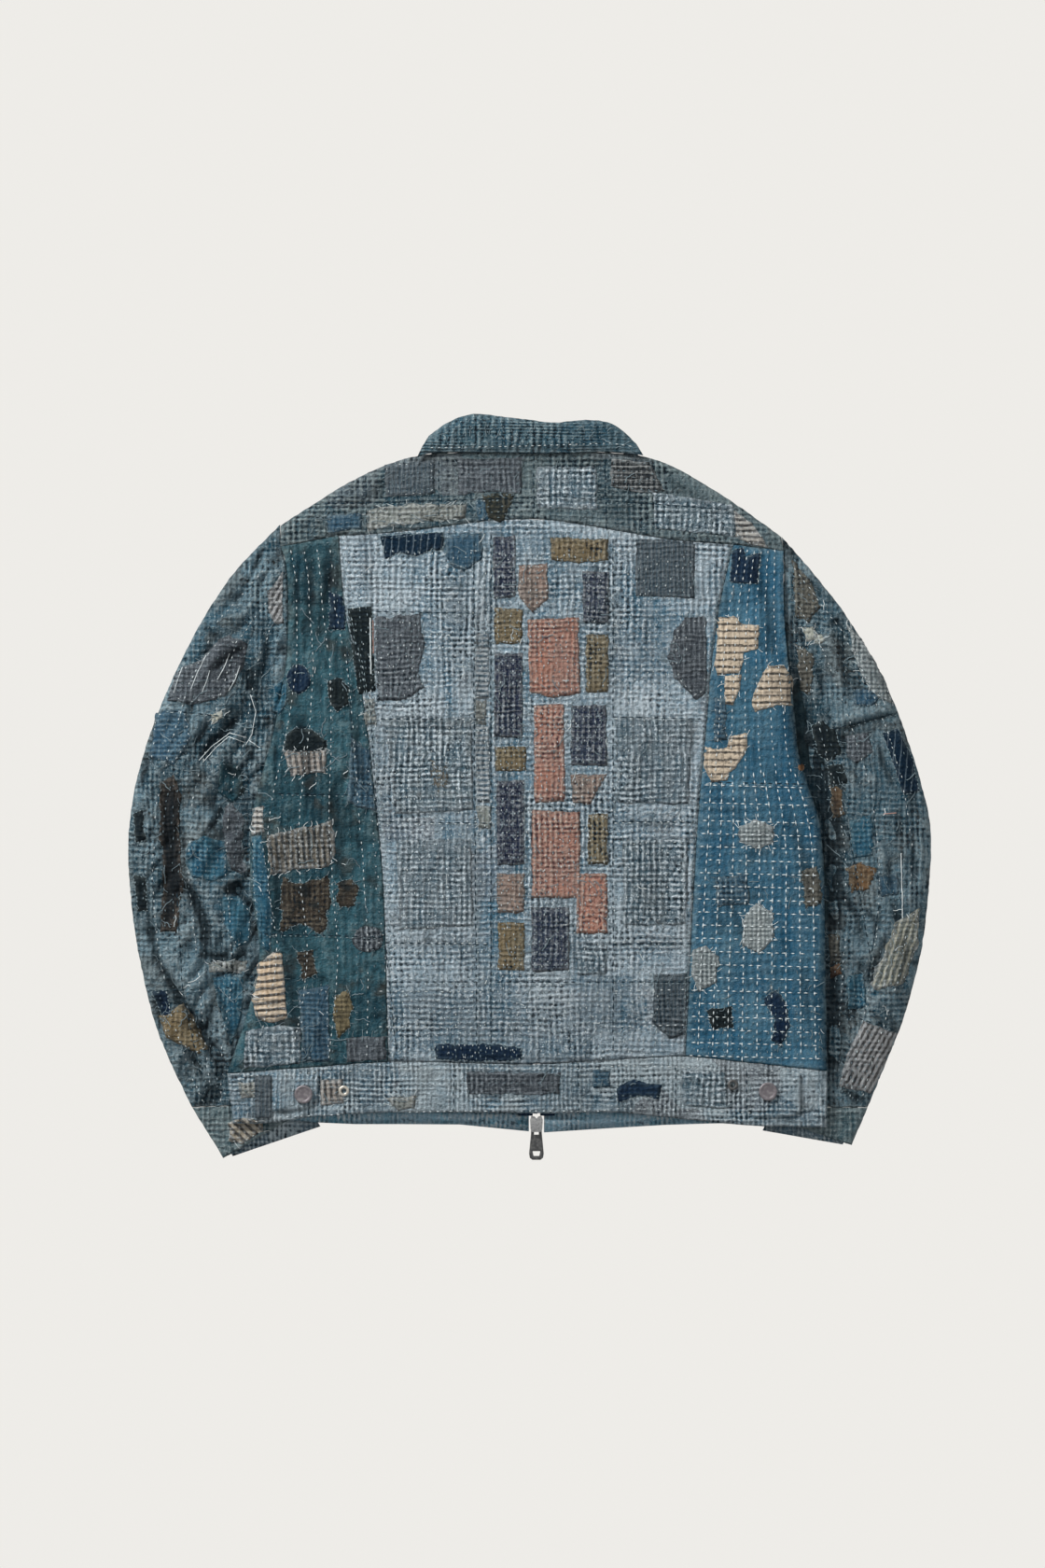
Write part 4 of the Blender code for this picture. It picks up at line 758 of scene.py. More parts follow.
# Hidden layers that lie under the back: fronts, under sleeves, under cuffs,
# front collar halves, front waistband and zip tapes, of plain worn cotton.
HIDDEN = ["front_left", "front_right", "waistband_front_left", "waistband_front_right",
          "sleeve_under_left", "sleeve_under_right", "cuff_under_left", "cuff_under_right",
          "collar_front_left", "collar_front_right", "zip_tape_left", "zip_tape_right"]
HIDDEN_LOOKS = {"waistband": ("hem", "cloth_teal"), "collar": ("collar", "cloth_gauze"),
                "zip": ("navy", "cloth_tape"), "cuff": ("band", "cloth_gauze"),
                "sleeve": ("sleeve", "cloth_teal")}
HIDDEN_RIM = 0.2
for source in HIDDEN:
    bm = open_mesh(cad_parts[source].data, CLOTH_WELD)
    bmesh.ops.subdivide_edges(bm, edges=bm.edges, cuts=1, use_grid_fill=True)
    style, finish = HIDDEN_LOOKS.get(source.split("_")[0], ("teal", "cloth_teal"))
    made = finish_mesh(bm, "cloth_" + source, [HIDDEN_RIM] * len(bm.verts), look(style))
    made.data.set_sharp_from_angle(angle=0.8)
    panels[source] = made
    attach(made, "jacket")
    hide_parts(source)


def surface_of(objects):
    verts, faces = [], []
    for ob in objects:
        start = len(verts)
        verts += [v.co.copy() for v in ob.data.vertices]
        faces += [tuple(start + k for k in p.vertices) for p in ob.data.polygons]
    return BVHTree.FromPolygons(verts, faces)


SHOWN = [panels[p[0]] for p in PANELS]
ground = surface_of(list(panels.values()))


def height(tree, x, y):
    hit = tree.ray_cast(Vector((x, y, 0.2)), Vector((0, 0, -1)))[0]
    return hit.z if hit else 0.0


# Armhole bindings: a strip of cotton sewn inside over each armhole seam, where
# a front and an under sleeve meet.
ARMHOLES = {
    # y, then the charted x where the front ends and where the under sleeve starts
    "right": (640, 840, 841, 666, 841, 842, 702, 844, 845, 730, 848, 849, 748, 850, 856, 754, 850, 859,
              790, 849, 860, 802, 851, 861, 814, 854, 862, 826, 856, 864, 838, 859, 866, 850, 864, 868,
              862, 868, 870, 894, 875, 876, 930, 878, 880, 966, 878, 882, 1002, 879, 882, 1050, 879, 880),
    "left": (600, 306, 307, 660, 308, 309, 702, 308, 309, 742, 301, 302, 778, 294, 295, 794, 288, 292,
             802, 283, 291, 814, 282, 289, 826, 281, 287, 838, 280, 285, 850, 279, 282, 900, 276, 278,
             960, 278, 280, 990, 280, 281, 1014, 283, 285, 1030, 284, 285),
}
BINDING_OVER = 6
BINDING_LIFT = 0.4
# painted shadow: each binding is coloured near black like the shade between panel and sleeve
BINDING_SHADE = 0.85
under = surface_of([panels[source] for source in HIDDEN])
for hand, flat in ARMHOLES.items():
    bm = bmesh.new()
    rows = []
    for y, xa, xb in zip(flat[0::3], flat[1::3], flat[2::3]):
        ends = [at(xa - BINDING_OVER, y), at(xb + BINDING_OVER, y)]
        za, zb = (height(under, *p) + BINDING_LIFT * MM for p in ends)
        if min(za, zb) < 1.5 * MM:
            za = zb = max(za, zb)
        across = ((xa - BINDING_OVER, 0), (xa - 1, 0.3), (xb + 1, 0.7), (xb + BINDING_OVER, 1))
        rows.append([bm.verts.new((*at(x, y), za + (zb - za) * f)) for x, f in across])
    for a, b in zip(rows, rows[1:]):
        for k in range(3):
            bm.faces.new((a[k], b[k], b[k + 1], a[k + 1]))
    bmesh.ops.recalc_face_normals(bm, faces=bm.faces)
    skirt(bm, 0.8 * MM)
    made = finish_mesh(bm, "binding_" + hand, [HIDDEN_RIM] * len(bm.verts), look("teal"))
    # painted shadow over the whole binding
    store(made.data, "fold_shade", [BINDING_SHADE] * len(made.data.vertices))
    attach(made, "jacket")


# Patches: scraps of other cottons laid on the panels and sewn down, with
# cut or torn edges and loose threads. Outlines are charted point by point.
CHART = [
    # panel, then its scraps: look, raggedness, outline x, y, ... ("o" and a box for an oval)
    ("back_centre", [
        ("navy_stripe", 1.2, 408, 574, 476, 570, 475, 590, 462, 589, 446, 596, 430, 592, 412, 598),
        ("black", 1.2, 372, 652, 399, 650, 400, 690, 402, 741, 384, 744, 378, 700),
        ("grey_brown", 2.0, 401, 662, 450, 657, 454, 700, 447, 720, 455, 734, 436, 750, 406, 752),
        ("grey_brown", 1.8, 733, 662, 756, 660, 757, 700, 757, 744, 746, 750, 723, 726, 715, 703, 723,
         676), ("pinstripe", 1.0, 682, 577, 745, 580, 744, 641, 681, 638),
        ("pinstripe", 1.4, 701, 1045, 737, 1044, 735, 1110, 716, 1112, 700, 1096),
        ("navy", 1.8, 466, 1120, 520, 1118, 560, 1122, 558, 1135, 500, 1137, 468, 1135),
        ("navy_soft", 1.6, 478, 575, 516, 571, 517, 600, 498, 612, 480, 604),
        ("ladder", 1.0, 509, 680, 524, 680, 524, 748, 509, 748),
        ("ladder", 1.0, 510, 778, 524, 778, 525, 860, 511, 860),
        ("cream_soft", 1.4, 390, 748, 402, 748, 403, 776, 391, 776),
        ("cream_soft", 1.4, 508, 750, 521, 750, 522, 776, 509, 776),
        ("cream_soft", 1.4, 511, 864, 526, 864, 526, 888, 512, 888),
        ("check_soft", 1.2, 412, 770, 505, 768, 507, 868, 424, 872),
        ("pin_soft", 1.2, 425, 900, 505, 898, 507, 992, 428, 996),
        ("check_soft", 1.2, 668, 900, 738, 898, 735, 990, 668, 992),
        ("brown_soft", 2.4, 456, 808, 487, 812, 485, 850, 460, 856),
        ("pin_soft", 1.4, 660, 768, 742, 770, 738, 862, 662, 860),
    ]),
    ("back_yoke", [
        ("pinstripe", 1.0, 412, 497, 465, 493, 466, 529, 414, 532),
        ("grey_brown", 1.6, 491, 492, 560, 491, 558, 529, 526, 526, 491, 531),
        ("olive", 1.8, 516, 530, 551, 528, 548, 540, 536, 560, 520, 554),
        ("navy_soft", 1.4, 510, 536, 522, 534, 524, 558, 512, 558),
        ("dash_dark", 1.2, 655, 491, 696, 495, 712, 526, 690, 528, 655, 522),
        ("check_soft", 1.2, 700, 527, 786, 541, 790, 575, 702, 566),
        ("bars", 1.4, 786, 546, 806, 560, 826, 588, 800, 582, 788, 574),
        ("cream_soft", 1.6, 392, 546, 440, 540, 500, 541, 500, 556, 440, 560, 394, 568),
        ("navy_soft", 1.2, 350, 553, 388, 549, 388, 566, 352, 571),
        ("check_soft", 1.2, 574, 500, 640, 500, 640, 546, 576, 544),
    ]),
    ("back_side_left", [
        ("navy", 1.6, 352, 634, 366, 638, 372, 656, 370, 676, 352, 674, 354, 652),
        ("navy", 1.0, "o", 308, 712, 333, 743),
        ("black", 1.4, 352, 730, 364, 726, 374, 736, 373, 754, 362, 763, 353, 752),
        ("blue_bright", 1.4, 294, 736, 306, 724, 309, 748, 300, 766, 292, 764),
        ("black", 1.6, 304, 806, 306, 790, 318, 778, 334, 782, 350, 794, 351, 808),
        ("ticking_down", 1.4, 304, 803, 350, 803, 349, 828, 336, 828, 312, 832),
        ("ticking_tan", 1.8, 286, 896, 320, 888, 356, 878, 360, 912, 352, 928, 318, 932, 290, 938),
        ("brown", 2.6, 300, 940, 326, 946, 352, 938, 354, 968, 346, 1000, 322, 990, 302, 996),
        ("brown", 2.2, 360, 946, 376, 940, 386, 952, 380, 970, 364, 974),
        ("brown", 2.2, 318, 1020, 336, 1018, 340, 1040, 326, 1052),
        ("grey_brown", 1.2, "o", 378, 992, 411, 1020),
        ("blue_bright", 1.0, 270, 897, 281, 895, 288, 940, 293, 990, 290, 1020, 280, 1016, 272, 960),
        ("bars", 1.2, 270, 866, 282, 864, 284, 892, 270, 894),
        ("roll", 1.2, 276, 1032, 284, 1028, 293, 1019, 302, 1021, 306, 1063, 308, 1091, 293, 1096, 275,
         1090, 270, 1072),
        ("ochre", 2.0, 360, 1066, 372, 1060, 378, 1078, 374, 1100, 362, 1112, 356, 1090),
        ("grey_brown", 1.4, 371, 1112, 414, 1110, 414, 1136, 372, 1137),
        ("check_soft", 1.2, 264, 1104, 300, 1098, 322, 1100, 322, 1140, 262, 1144),
        ("navy_soft", 1.4, 320, 1060, 352, 1056, 354, 1136, 324, 1138),
        ("navy_soft", 1.6, 376, 790, 396, 804, 402, 870, 372, 860),
    ]),
    ("back_side_right", [
        ("navy", 1.4, 784, 590, 796, 586, 800, 596, 815, 592, 812, 626, 783, 624),
        ("navy_soft", 1.4, 766, 748, 778, 748, 778, 794, 766, 794),
        ("ticking", 1.2, 769, 661, 789, 661, 793, 668, 813, 669, 812, 695, 797, 700, 794, 721, 769, 723,
         765, 713, 768, 690),
        ("ticking", 1.0, 776, 724, 794, 723, 793, 738, 788, 748, 786, 756, 777, 754),
        ("ticking", 1.2, 822, 713, 839, 713, 850, 726, 850, 756, 831, 756, 809, 763, 806, 753, 809, 738),
        ("ticking", 1.2, 783, 789, 801, 785, 801, 804, 789, 822, 781, 827, 780, 837, 763, 838, 754, 821,
         756, 799, 770, 803, 779, 801),
        ("gingham", 2.0, 792, 884, 812, 878, 830, 886, 828, 904, 808, 909, 792, 902),
        ("gingham", 2.2, 798, 980, 812, 968, 828, 978, 830, 1004, 814, 1022, 796, 1012),
        ("gingham", 2.0, 742, 1020, 756, 1012, 770, 1026, 766, 1054, 748, 1062, 741, 1044),
        ("brown_soft", 2.4, 858, 934, 874, 928, 880, 944, 880, 968, 864, 972),
        ("black", 1.6, 757, 1082, 784, 1078, 786, 1100, 764, 1103),
        ("navy", 1.8, 818, 1070, 832, 1062, 842, 1074, 846, 1100, 836, 1122, 826, 1112, 830, 1090),
        ("navy_soft", 1.2, 766, 940, 800, 936, 804, 968, 768, 972),
        ("rust", 1.4, "o", 855, 818, 863, 826),
    ]),
    ("waistband_back", [
        ("ticking_down", 1.0, 343, 1157, 367, 1155, 368, 1182, 344, 1184),
        ("cream_soft", 1.8, 414, 1176, 446, 1174, 444, 1187, 426, 1190),
        ("navy", 1.8, 660, 1166, 678, 1157, 710, 1162, 706, 1178, 686, 1174, 664, 1180),
        ("grey_brown", 1.2, 500, 1148, 600, 1149, 600, 1172, 502, 1172),
        ("check_soft", 1.0, 730, 1146, 778, 1149, 780, 1188, 732, 1184),
        ("cream_soft", 1.2, 256, 1160, 296, 1157, 296, 1174, 258, 1176),
        ("navy_soft", 1.2, 634, 1146, 654, 1147, 654, 1164, 636, 1166),
    ]),
    ("sleeve_right", [
        ("brown_soft", 1.8, 850, 600, 868, 620, 880, 650, 866, 668, 852, 660),
        ("brown_soft", 1.8, 853, 690, 872, 700, 870, 744, 858, 740),
        ("cream", 1.8, 860, 674, 872, 671, 876, 681, 866, 688), ("cream", 1.4, "o", 873, 680, 883, 690),
        ("gingham", 1.4, 908, 668, 925, 684, 950, 730, 958, 756, 936, 746, 918, 714),
        ("navy_soft", 1.8, 912, 740, 930, 736, 944, 748, 930, 757, 916, 756),
        ("black", 1.4, 870, 778, 882, 772, 896, 784, 902, 806, 890, 816, 878, 808),
        ("black", 1.2, 886, 820, 904, 818, 908, 840, 890, 844),
        ("grey_brown", 1.2, 906, 788, 930, 784, 936, 806, 918, 818, 908, 810),
        ("navy_stripe", 1.0, 945, 786, 962, 780, 978, 812, 986, 848, 968, 852, 958, 820),
        ("rust_soft", 2.2, 888, 842, 902, 846, 904, 872, 892, 876),
        ("rust_soft", 2.4, 906, 930, 922, 924, 938, 932, 930, 952, 912, 956),
        ("brown_soft", 1.8, 888, 1000, 900, 1002, 902, 1034, 890, 1034),
        ("rust", 1.6, 890, 1036, 902, 1032, 902, 1044, 891, 1048),
        ("blue_bright", 1.4, 910, 880, 934, 872, 936, 916, 914, 920),
        ("navy_soft", 1.6, 938, 938, 962, 936, 962, 958, 944, 960),
        ("green_lines", 1.8, 958, 990, 986, 972, 984, 1010, 970, 1052, 940, 1062, 932, 1054, 948, 1020),
        ("blue_bright", 1.4, 908, 1046, 926, 1042, 928, 1078, 910, 1082),
        ("diagonal", 1.2, 925, 1094, 962, 1108, 948, 1144, 934, 1172, 899, 1164, 908, 1130),
    ]),
    ("sleeve_left", [
        ("grey_brown", 1.6, 228, 690, 244, 680, 265, 690, 263, 706, 252, 731, 240, 747, 205, 755, 179,
         751, 187, 722, 197, 714, 215, 708),
        ("diagonal", 1.2, 287, 635, 303, 612, 303, 668, 294, 668, 287, 653),
        ("brown_black", 1.8, 172, 838, 186, 830, 194, 850, 192, 920, 196, 940, 190, 1000, 172, 998, 176,
         930, 170, 880), ("black", 1.6, 143, 872, 152, 868, 156, 900, 145, 902),
        ("black", 1.6, 144, 938, 156, 940, 158, 976, 148, 976),
        ("navy", 1.6, 164, 1062, 178, 1060, 184, 1088, 174, 1094),
        ("ochre_soft", 2.2, 170, 1090, 196, 1075, 208, 1092, 224, 1124, 214, 1130, 192, 1118, 178, 1112),
        ("grey_brown", 1.6, 240, 866, 250, 860, 262, 880, 260, 900, 262, 940, 248, 930, 238, 900),
        ("blue_bright", 1.2, 202, 904, 218, 896, 242, 902, 244, 938, 230, 944, 206, 940, 198, 924),
        ("blue_bright", 1.2, 238, 962, 254, 960, 268, 974, 268, 1010, 254, 1016, 240, 990),
        ("teal", 1.4, 236, 816, 254, 820, 262, 846, 250, 860, 234, 850),
        ("blue_bright", 1.4, 228, 1046, 246, 1044, 262, 1050, 258, 1096, 247, 1120, 238, 1090),
        ("navy_soft", 2.0, 166, 764, 200, 758, 206, 790, 186, 820, 160, 812),
        ("cream", 1.8, 226, 766, 238, 760, 240, 768, 228, 776),
        ("cream_soft", 1.4, 224, 1030, 264, 1030, 262, 1042, 224, 1042),
    ]),
    ("cuff_left", [
        ("ticking_cuff", 1.2, 244, 1204, 262, 1196, 280, 1202, 282, 1212, 258, 1226, 246, 1222),
    ]),
    # the tall panel at the middle: geometric scraps in salmon, ochre and indigo
    ("back_centre", [
        ("indigo_crosses", 1.0, 528, 576, 552, 574, 553, 640, 529, 641),
        ("ochre_soft", 1.2, 590, 576, 652, 578, 652, 600, 620, 603, 591, 600),
        ("salmon_soft", 1.2, 556, 606, 586, 604, 588, 640, 570, 656, 556, 640),
        ("indigo_crosses", 1.0, 624, 612, 652, 612, 652, 668, 625, 667),
        ("salmon", 1.2, 566, 664, 620, 661, 622, 742, 594, 748, 567, 741),
        ("ochre_soft", 1.4, 530, 652, 560, 653, 560, 690, 531, 690),
        ("indigo_crosses", 1.0, 530, 700, 560, 700, 560, 790, 530, 790),
        ("ochre_soft", 1.2, 628, 680, 652, 680, 652, 742, 628, 742),
        ("salmon", 1.2, 572, 756, 604, 754, 606, 858, 573, 860),
        ("indigo_crosses", 1.0, 612, 756, 650, 755, 651, 820, 612, 820),
        ("salmon_soft", 1.2, 612, 830, 650, 830, 632, 862, 614, 860),
        ("ochre_soft", 1.2, 531, 800, 564, 800, 564, 826, 531, 826),
        ("indigo_crosses", 1.0, 532, 836, 562, 836, 562, 926, 533, 927),
        ("salmon", 1.2, 570, 868, 622, 870, 622, 962, 570, 962),
        ("ochre_soft", 1.2, 630, 872, 651, 872, 651, 926, 630, 926),
        ("salmon_soft", 1.2, 533, 936, 562, 936, 562, 978, 534, 978),
        ("indigo_crosses", 1.0, 570, 972, 610, 972, 610, 1040, 570, 1041),
        ("salmon", 1.2, 618, 936, 651, 936, 651, 1000, 618, 1000),
        ("ochre_soft", 1.2, 534, 988, 562, 988, 562, 1040, 534, 1040),
        ("pin_soft", 1.2, 618, 1010, 651, 1010, 650, 1044, 618, 1044),
    ]),
]
PATCHES = [(source, style, fray, shape) for source, group in CHART for style, fray, *shape in group]


OUTLINE_STEP = 2.4
OVAL_POINTS = 24
RING_STEP = 2.8


def patch_outline(shape, fray, seed):
    """Points a step apart round the shape, pulled about by wear."""
    if shape[0] == "o":
        x0, y0, x1, y1 = shape[1:]
        turns = [math.tau * k / OVAL_POINTS for k in range(OVAL_POINTS)]
        corners = [((x0 + x1) / 2 + (x1 - x0) / 2 * math.cos(a),
                    (y0 + y1) / 2 + (y1 - y0) / 2 * math.sin(a)) for a in turns]
    else:
        corners = pairs(shape)
    ring = []
    for a, b in zip(corners, corners[1:] + corners[:1]):
        n = max(1, round(math.dist(a, b) / OUTLINE_STEP))
        ring += [part_way(a, b, k, n) for k in range(n)]
    out = []
    for x, y in ring:
        far, near = Vector((x / 11, y / 11, seed)), Vector((x / 2.6, y / 2.6, seed + 9))
        out.append((x + fray * (1.3 * noise.noise(far) + 0.9 * noise.noise(near)),
                    y + fray * (1.3 * noise.noise(far + Vector((0, 0, 5))) + 0.9 * noise.noise(near * 1.1))))
    return out


def lay_patch(bm, ring, tree, lift):
    """Rings of points from the middle out, each dropped on the cloth below."""
    points = [at(x, y) for x, y in ring]
    turn = sum(a[0] * b[1] - b[0] * a[1] for a, b in zip(points, points[1:] + points[:1]))
    if turn < 0:
        points.reverse()
    cx, cy = centre_of(points)
    reach = sum(math.dist(p, (cx, cy)) for p in points) / len(points)
    count = max(2, round(reach / (RING_STEP * MM)))
    hub = bm.verts.new((cx, cy, height(tree, cx, cy) + lift * MM))
    inner = None
    for k in range(1, count + 1):
        f = k / count
        row = []
        for x, y in points:
            px, py = cx + (x - cx) * f, cy + (y - cy) * f
            row.append(bm.verts.new((px, py, height(tree, px, py) + lift * MM)))
        for m in range(len(row)):
            n = (m + 1) % len(row)
            corners = (hub, row[m], row[n]) if inner is None else (inner[m], row[m], row[n], inner[n])
            bm.faces.new(corners)
        inner = row


PATCH_LIFT = 0.7
PATCH_DROP = 0.7
# painted shade on the patches' turned-down edges
PATCH_EDGE_SHADE = 0.7


bunches = {}
outlines = []
for seed, (source, style, fray, shape) in enumerate(PATCHES):
    bm = bunches.setdefault((source, style), bmesh.new())
    ring = patch_outline(shape, fray, seed * 1.7)
    outlines.append(ring)
    lay_patch(bm, ring, ground, PATCH_LIFT)
scraps = {}
for (source, style), bm in bunches.items():
    bm.verts.ensure_lookup_table()
    rim = near_edge(bm, 4 * MM)
    for v, r in zip(bm.verts, rim):
        v.co.z -= 0.4 * MM * r
    points = np.array([v.co[:2] for v in bm.verts])
    # painted shade: SHADES lines, crease hollows and a band along each patch's edge darken the fold
    # attribute
    fold_shade = np.maximum(shades_at(points), np.clip(-creases_at(points) / (2.6 * MM), 0, 0.9))
    fold_shade = np.maximum(fold_shade, 0.45 * np.array([max(0.0, r - 0.8) / 0.2 for r in rim]))
    made, more = edged(bm, "patches_%s_%s" % (source, style), rim, PATCH_DROP, style)
    store(made.data, "fold_shade", list(fold_shade) + [PATCH_EDGE_SHADE] * more)
    scraps.setdefault(source, []).append(made)
    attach(made, "jacket")
SOLID_PATCHES = {
    "patches_back_side_left_ticking_down": "patch_left_arch",
    "patches_back_side_left_ticking_tan": "patch_left_stripe",
    "patches_back_side_left_roll": "patch_left_roll",
    "patches_sleeve_left_grey_brown": "patch_sleeve_left",
    "patches_sleeve_right_navy_stripe": "patch_sleeve_right",
}
for label, source in SOLID_PATCHES.items():
    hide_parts(source)
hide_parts("patch_right_top", "patch_right_edge",
            "patch_right_low")
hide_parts("panel_scraps_top", "panel_scraps_mid",
            "panel_scraps_low")


# Sewing: rows of running stitch in thick cotton thread, each stitch a small
# spindle that stands on the cloth, with longer ones on the blue panels.
# below these heights in millimetres the thread would hang off the jacket
LOWEST_STITCH = 2.5
LOWEST_STRAND = 1.5
SHORTEST_RING = 24
THREADS = {
    "thread_white": (0.7, 0.76, 0.76), "thread_pale": (0.24, 0.31, 0.33),
    "thread_rose": (0.5, 0.3, 0.25), "thread_dark": (0.02, 0.04, 0.055),
    "thread_grey": (0.19, 0.25, 0.275),
}
for label, tint in THREADS.items():
    LOOKS[label] = dict(base=tint, second=tuple(c * 0.72 for c in tint), thread=0.1, pale=tint,
                        bands=(160, 0.8), bump=0.3, rim=0.0, pucker=None)
top = surface_of(SHOWN + [s for group in scraps.values() for s in group])
rng = random.Random(11)
SEAM_LEFT = pairs((363, 574, 369, 655, 384, 713, 396, 801, 402, 858, 409, 923, 413, 996, 416, 1137))
SEAM_RIGHT = pairs((786, 583, 771, 648, 762, 720, 756, 795, 750, 850, 744, 940, 739, 1030, 735, 1131))
EDGE_LEFT = pairs((300, 585, 308, 610, 308, 700, 298, 760, 292, 790, 283, 820, 268, 880, 268, 950, 280,
                   1020, 270, 1070, 254, 1120, 243, 1150))
EDGE_RIGHT = pairs((840, 590, 840, 665, 844, 701, 850, 745, 857, 815, 866, 840, 878, 877, 883, 920, 884,
                    1000, 887, 1147))


def x_at(line, y):
    for (x0, y0), (x1, y1) in zip(line, line[1:]):
        if y0 <= y <= y1:
            return x0 + (x1 - x0) * (y - y0) / (y1 - y0)
    return line[0][0] if y < line[0][1] else line[-1][0]


def stitch(bm, x, y, tx, ty, long, wide):
    """One stitch of charted length, its ends dipping into the cloth."""
    px, py = at(x, y)
    half = long * UNIT / 2
    r = wide * MM / 2
    dx, dy = tx * half, -ty * half
    z = height(top, px, py)
    if z < LOWEST_STITCH * MM:
        return
    nx, ny = -dy / half * r, dx / half * r
    ends = []
    for s in (-1, 1):
        ex, ey = px + s * dx, py + s * dy
        ends.append(bm.verts.new((ex, ey, max(height(top, ex, ey), z - 0.6 * MM) - 0.05 * MM)))
    ring = [bm.verts.new(co) for co in ((px + nx, py + ny, z + r * 0.4), (px, py, z + r * 1.5),
                                        (px - nx, py - ny, z + r * 0.4), (px, py, z - r))]
    for k in range(4):
        m = (k + 1) % 4
        bm.faces.new((ends[0], ring[k], ring[m]))
        bm.faces.new((ends[1], ring[m], ring[k]))


def sew(bm, path, long, gap, wide, stray=0.5, skip=0.0):
    """Running stitch along a charted path."""
    left = rng.uniform(0, gap)
    for (x0, y0), (x1, y1) in zip(path, path[1:]):
        leg = math.hypot(x1 - x0, y1 - y0)
        tx, ty = (x1 - x0) / leg, (y1 - y0) / leg
        while left < leg:
            if rng.random() >= skip:
                k = rng.uniform(0.75, 1.2)
                x = x0 + tx * left + rng.uniform(-stray, stray)
                stitch(bm, x, y0 + ty * left, tx, ty, long * k, wide)
            left += (long + gap) * rng.uniform(0.9, 1.12)
        left -= leg


sewing = {}


def thread_mesh(source, colour):
    return sewing.setdefault((source, colour), bmesh.new())


def ladder(left, right, ys, rows, inset):
    """Paths that share out the width between two charted edges."""
    out = [[] for k in range(rows)]
    for y in ys:
        start, width = x_at(left, y) + inset, x_at(right, y) - x_at(left, y) - 2 * inset
        for k in range(rows):
            out[k].append((start + width * ((k + 0.5) / rows), y))
    return out


ys = list(range(590, 1135, 30)) + [1135]
for path, skip in zip(ladder(EDGE_LEFT, SEAM_LEFT, ys, 4, 3), (0.1, 0.05, 0.08, 0.2)):
    sew(thread_mesh("back_side_left", "thread_white"), path, 4.4, 3.2, 0.9, stray=0.3, skip=skip)
for path in ladder(EDGE_LEFT, SEAM_LEFT, ys, 7, 3):
    sew(thread_mesh("back_side_left", "thread_grey"), path, 3.4, 5.2, 0.8, skip=0.5)
for line, off in ((SEAM_LEFT, 3), (SEAM_RIGHT, -3)):
    for shift in (0, 2.2):
        path = [(x + off + shift, y) for x, y in line]
        sew(thread_mesh("back_centre", "thread_pale"), path, 5, 1.6, 0.9, skip=0.1)
white = thread_mesh("back_side_right", "thread_white")
for path in ladder(SEAM_RIGHT, EDGE_RIGHT, [y for y in ys if y <= 850], 6, 6):
    sew(white, path, 4.8, 3.0, 1.0, stray=0.3, skip=0.04)
for path in ladder(SEAM_RIGHT, EDGE_RIGHT, [y for y in ys if y >= 830], 9, 5):
    sew(white, path, 6.2, 2.2, 1.25, stray=0.25, skip=0.03)
for y in [841, 860, 879] + list(range(893, 1135, 14)):
    path = [(x_at(SEAM_RIGHT, y) + 6, y), (x_at(EDGE_RIGHT, y) - 6, y + 3)]
    sew(white, path, 6.0, 2.4, 1.2, stray=0.25, skip=0.05)
for path in ladder(SEAM_RIGHT, EDGE_RIGHT, [y for y in ys if y >= 1060], 18, 5):
    sew(thread_mesh("back_side_right", "thread_pale"), path, 3.2, 4.0, 0.8, stray=0.6, skip=0.3)
for x in range(372, 745, 7):
    path = [(x + (x - 570) * -0.045 * (y - 580) / 100, y) for y in ys]
    path = [p for p in path if x_at(SEAM_LEFT, p[1]) + 4 < p[0] < x_at(SEAM_RIGHT, p[1]) - 4]
    if len(path) > 1:
        sew(thread_mesh("back_centre", "thread_grey"), path, 3.4, 3.4, 1.1, stray=1.6, skip=0.3)
        sew(thread_mesh("back_centre", "thread_white"), path, 2.6, 10.0, 0.9, stray=2.4, skip=0.35)
for y in (770, 882, 1010, 1062, 1100):
    sew(thread_mesh("back_centre", "thread_white"), [(405, y), (525, y + 1)], 4, 4, 1.0, skip=0.1)
    sew(thread_mesh("back_centre", "thread_white"), [(658, y), (738, y - 2)], 4, 4, 1.0, skip=0.1)
for k in range(13):
    y = 500 + k * 6
    path = [(x, y + 0.00045 * (x - 570) ** 2) for x in range(350, 800, 15)]
    path = [p for p in path if p[1] < 582 and p[1] > 492]
    if len(path) > 1:
        sew(thread_mesh("back_yoke", "thread_grey"), path, 3.4, 4.2, 1.0, stray=1.2, skip=0.35)
for k in range(24):
    x = 462 + k * 8.6
    sew(thread_mesh("collar_fall", "thread_grey"), [(x, 456), (x + 1, 476)], 3.2, 2.6, 0.9, skip=0.15)
sew(thread_mesh("collar_fall", "thread_white"), [(462, 480), (563, 478), (655, 475), (680, 479)], 4, 3, 0.8)
for y0, colour in ((1144, "thread_white"), (1190, "thread_white"), (1160, "thread_grey"),
                   (1176, "thread_grey")):
    path = [(x, y0 + 0.00009 * (x - 570) ** 2 - 3 * (x > 650)) for x in range(262, 880, 20)]
    sew(thread_mesh("waistband_back", colour), path, 4, 3.4, 0.9, skip=0.1)
ARMS = {
    # sleeve: outer line, inner line
    "sleeve_left": (pairs((282, 600, 225, 660, 192, 730, 170, 800, 154, 870, 150, 950, 158, 1020, 172,
                           1090, 200, 1160, 216, 1184)),
                    pairs((290, 690, 284, 720, 280, 770, 276, 800, 262, 850, 258, 930, 264, 990, 262,
                           1050, 244, 1110, 240, 1180))),
    "sleeve_right": (pairs((850, 596, 905, 664, 935, 716, 958, 770, 978, 830, 988, 900, 986, 980, 972,
                            1050, 950, 1110, 928, 1180)),
                     pairs((852, 690, 862, 740, 866, 780, 874, 820, 886, 870, 892, 930, 892, 1000, 890,
                            1060, 890, 1120, 892, 1180))),
}
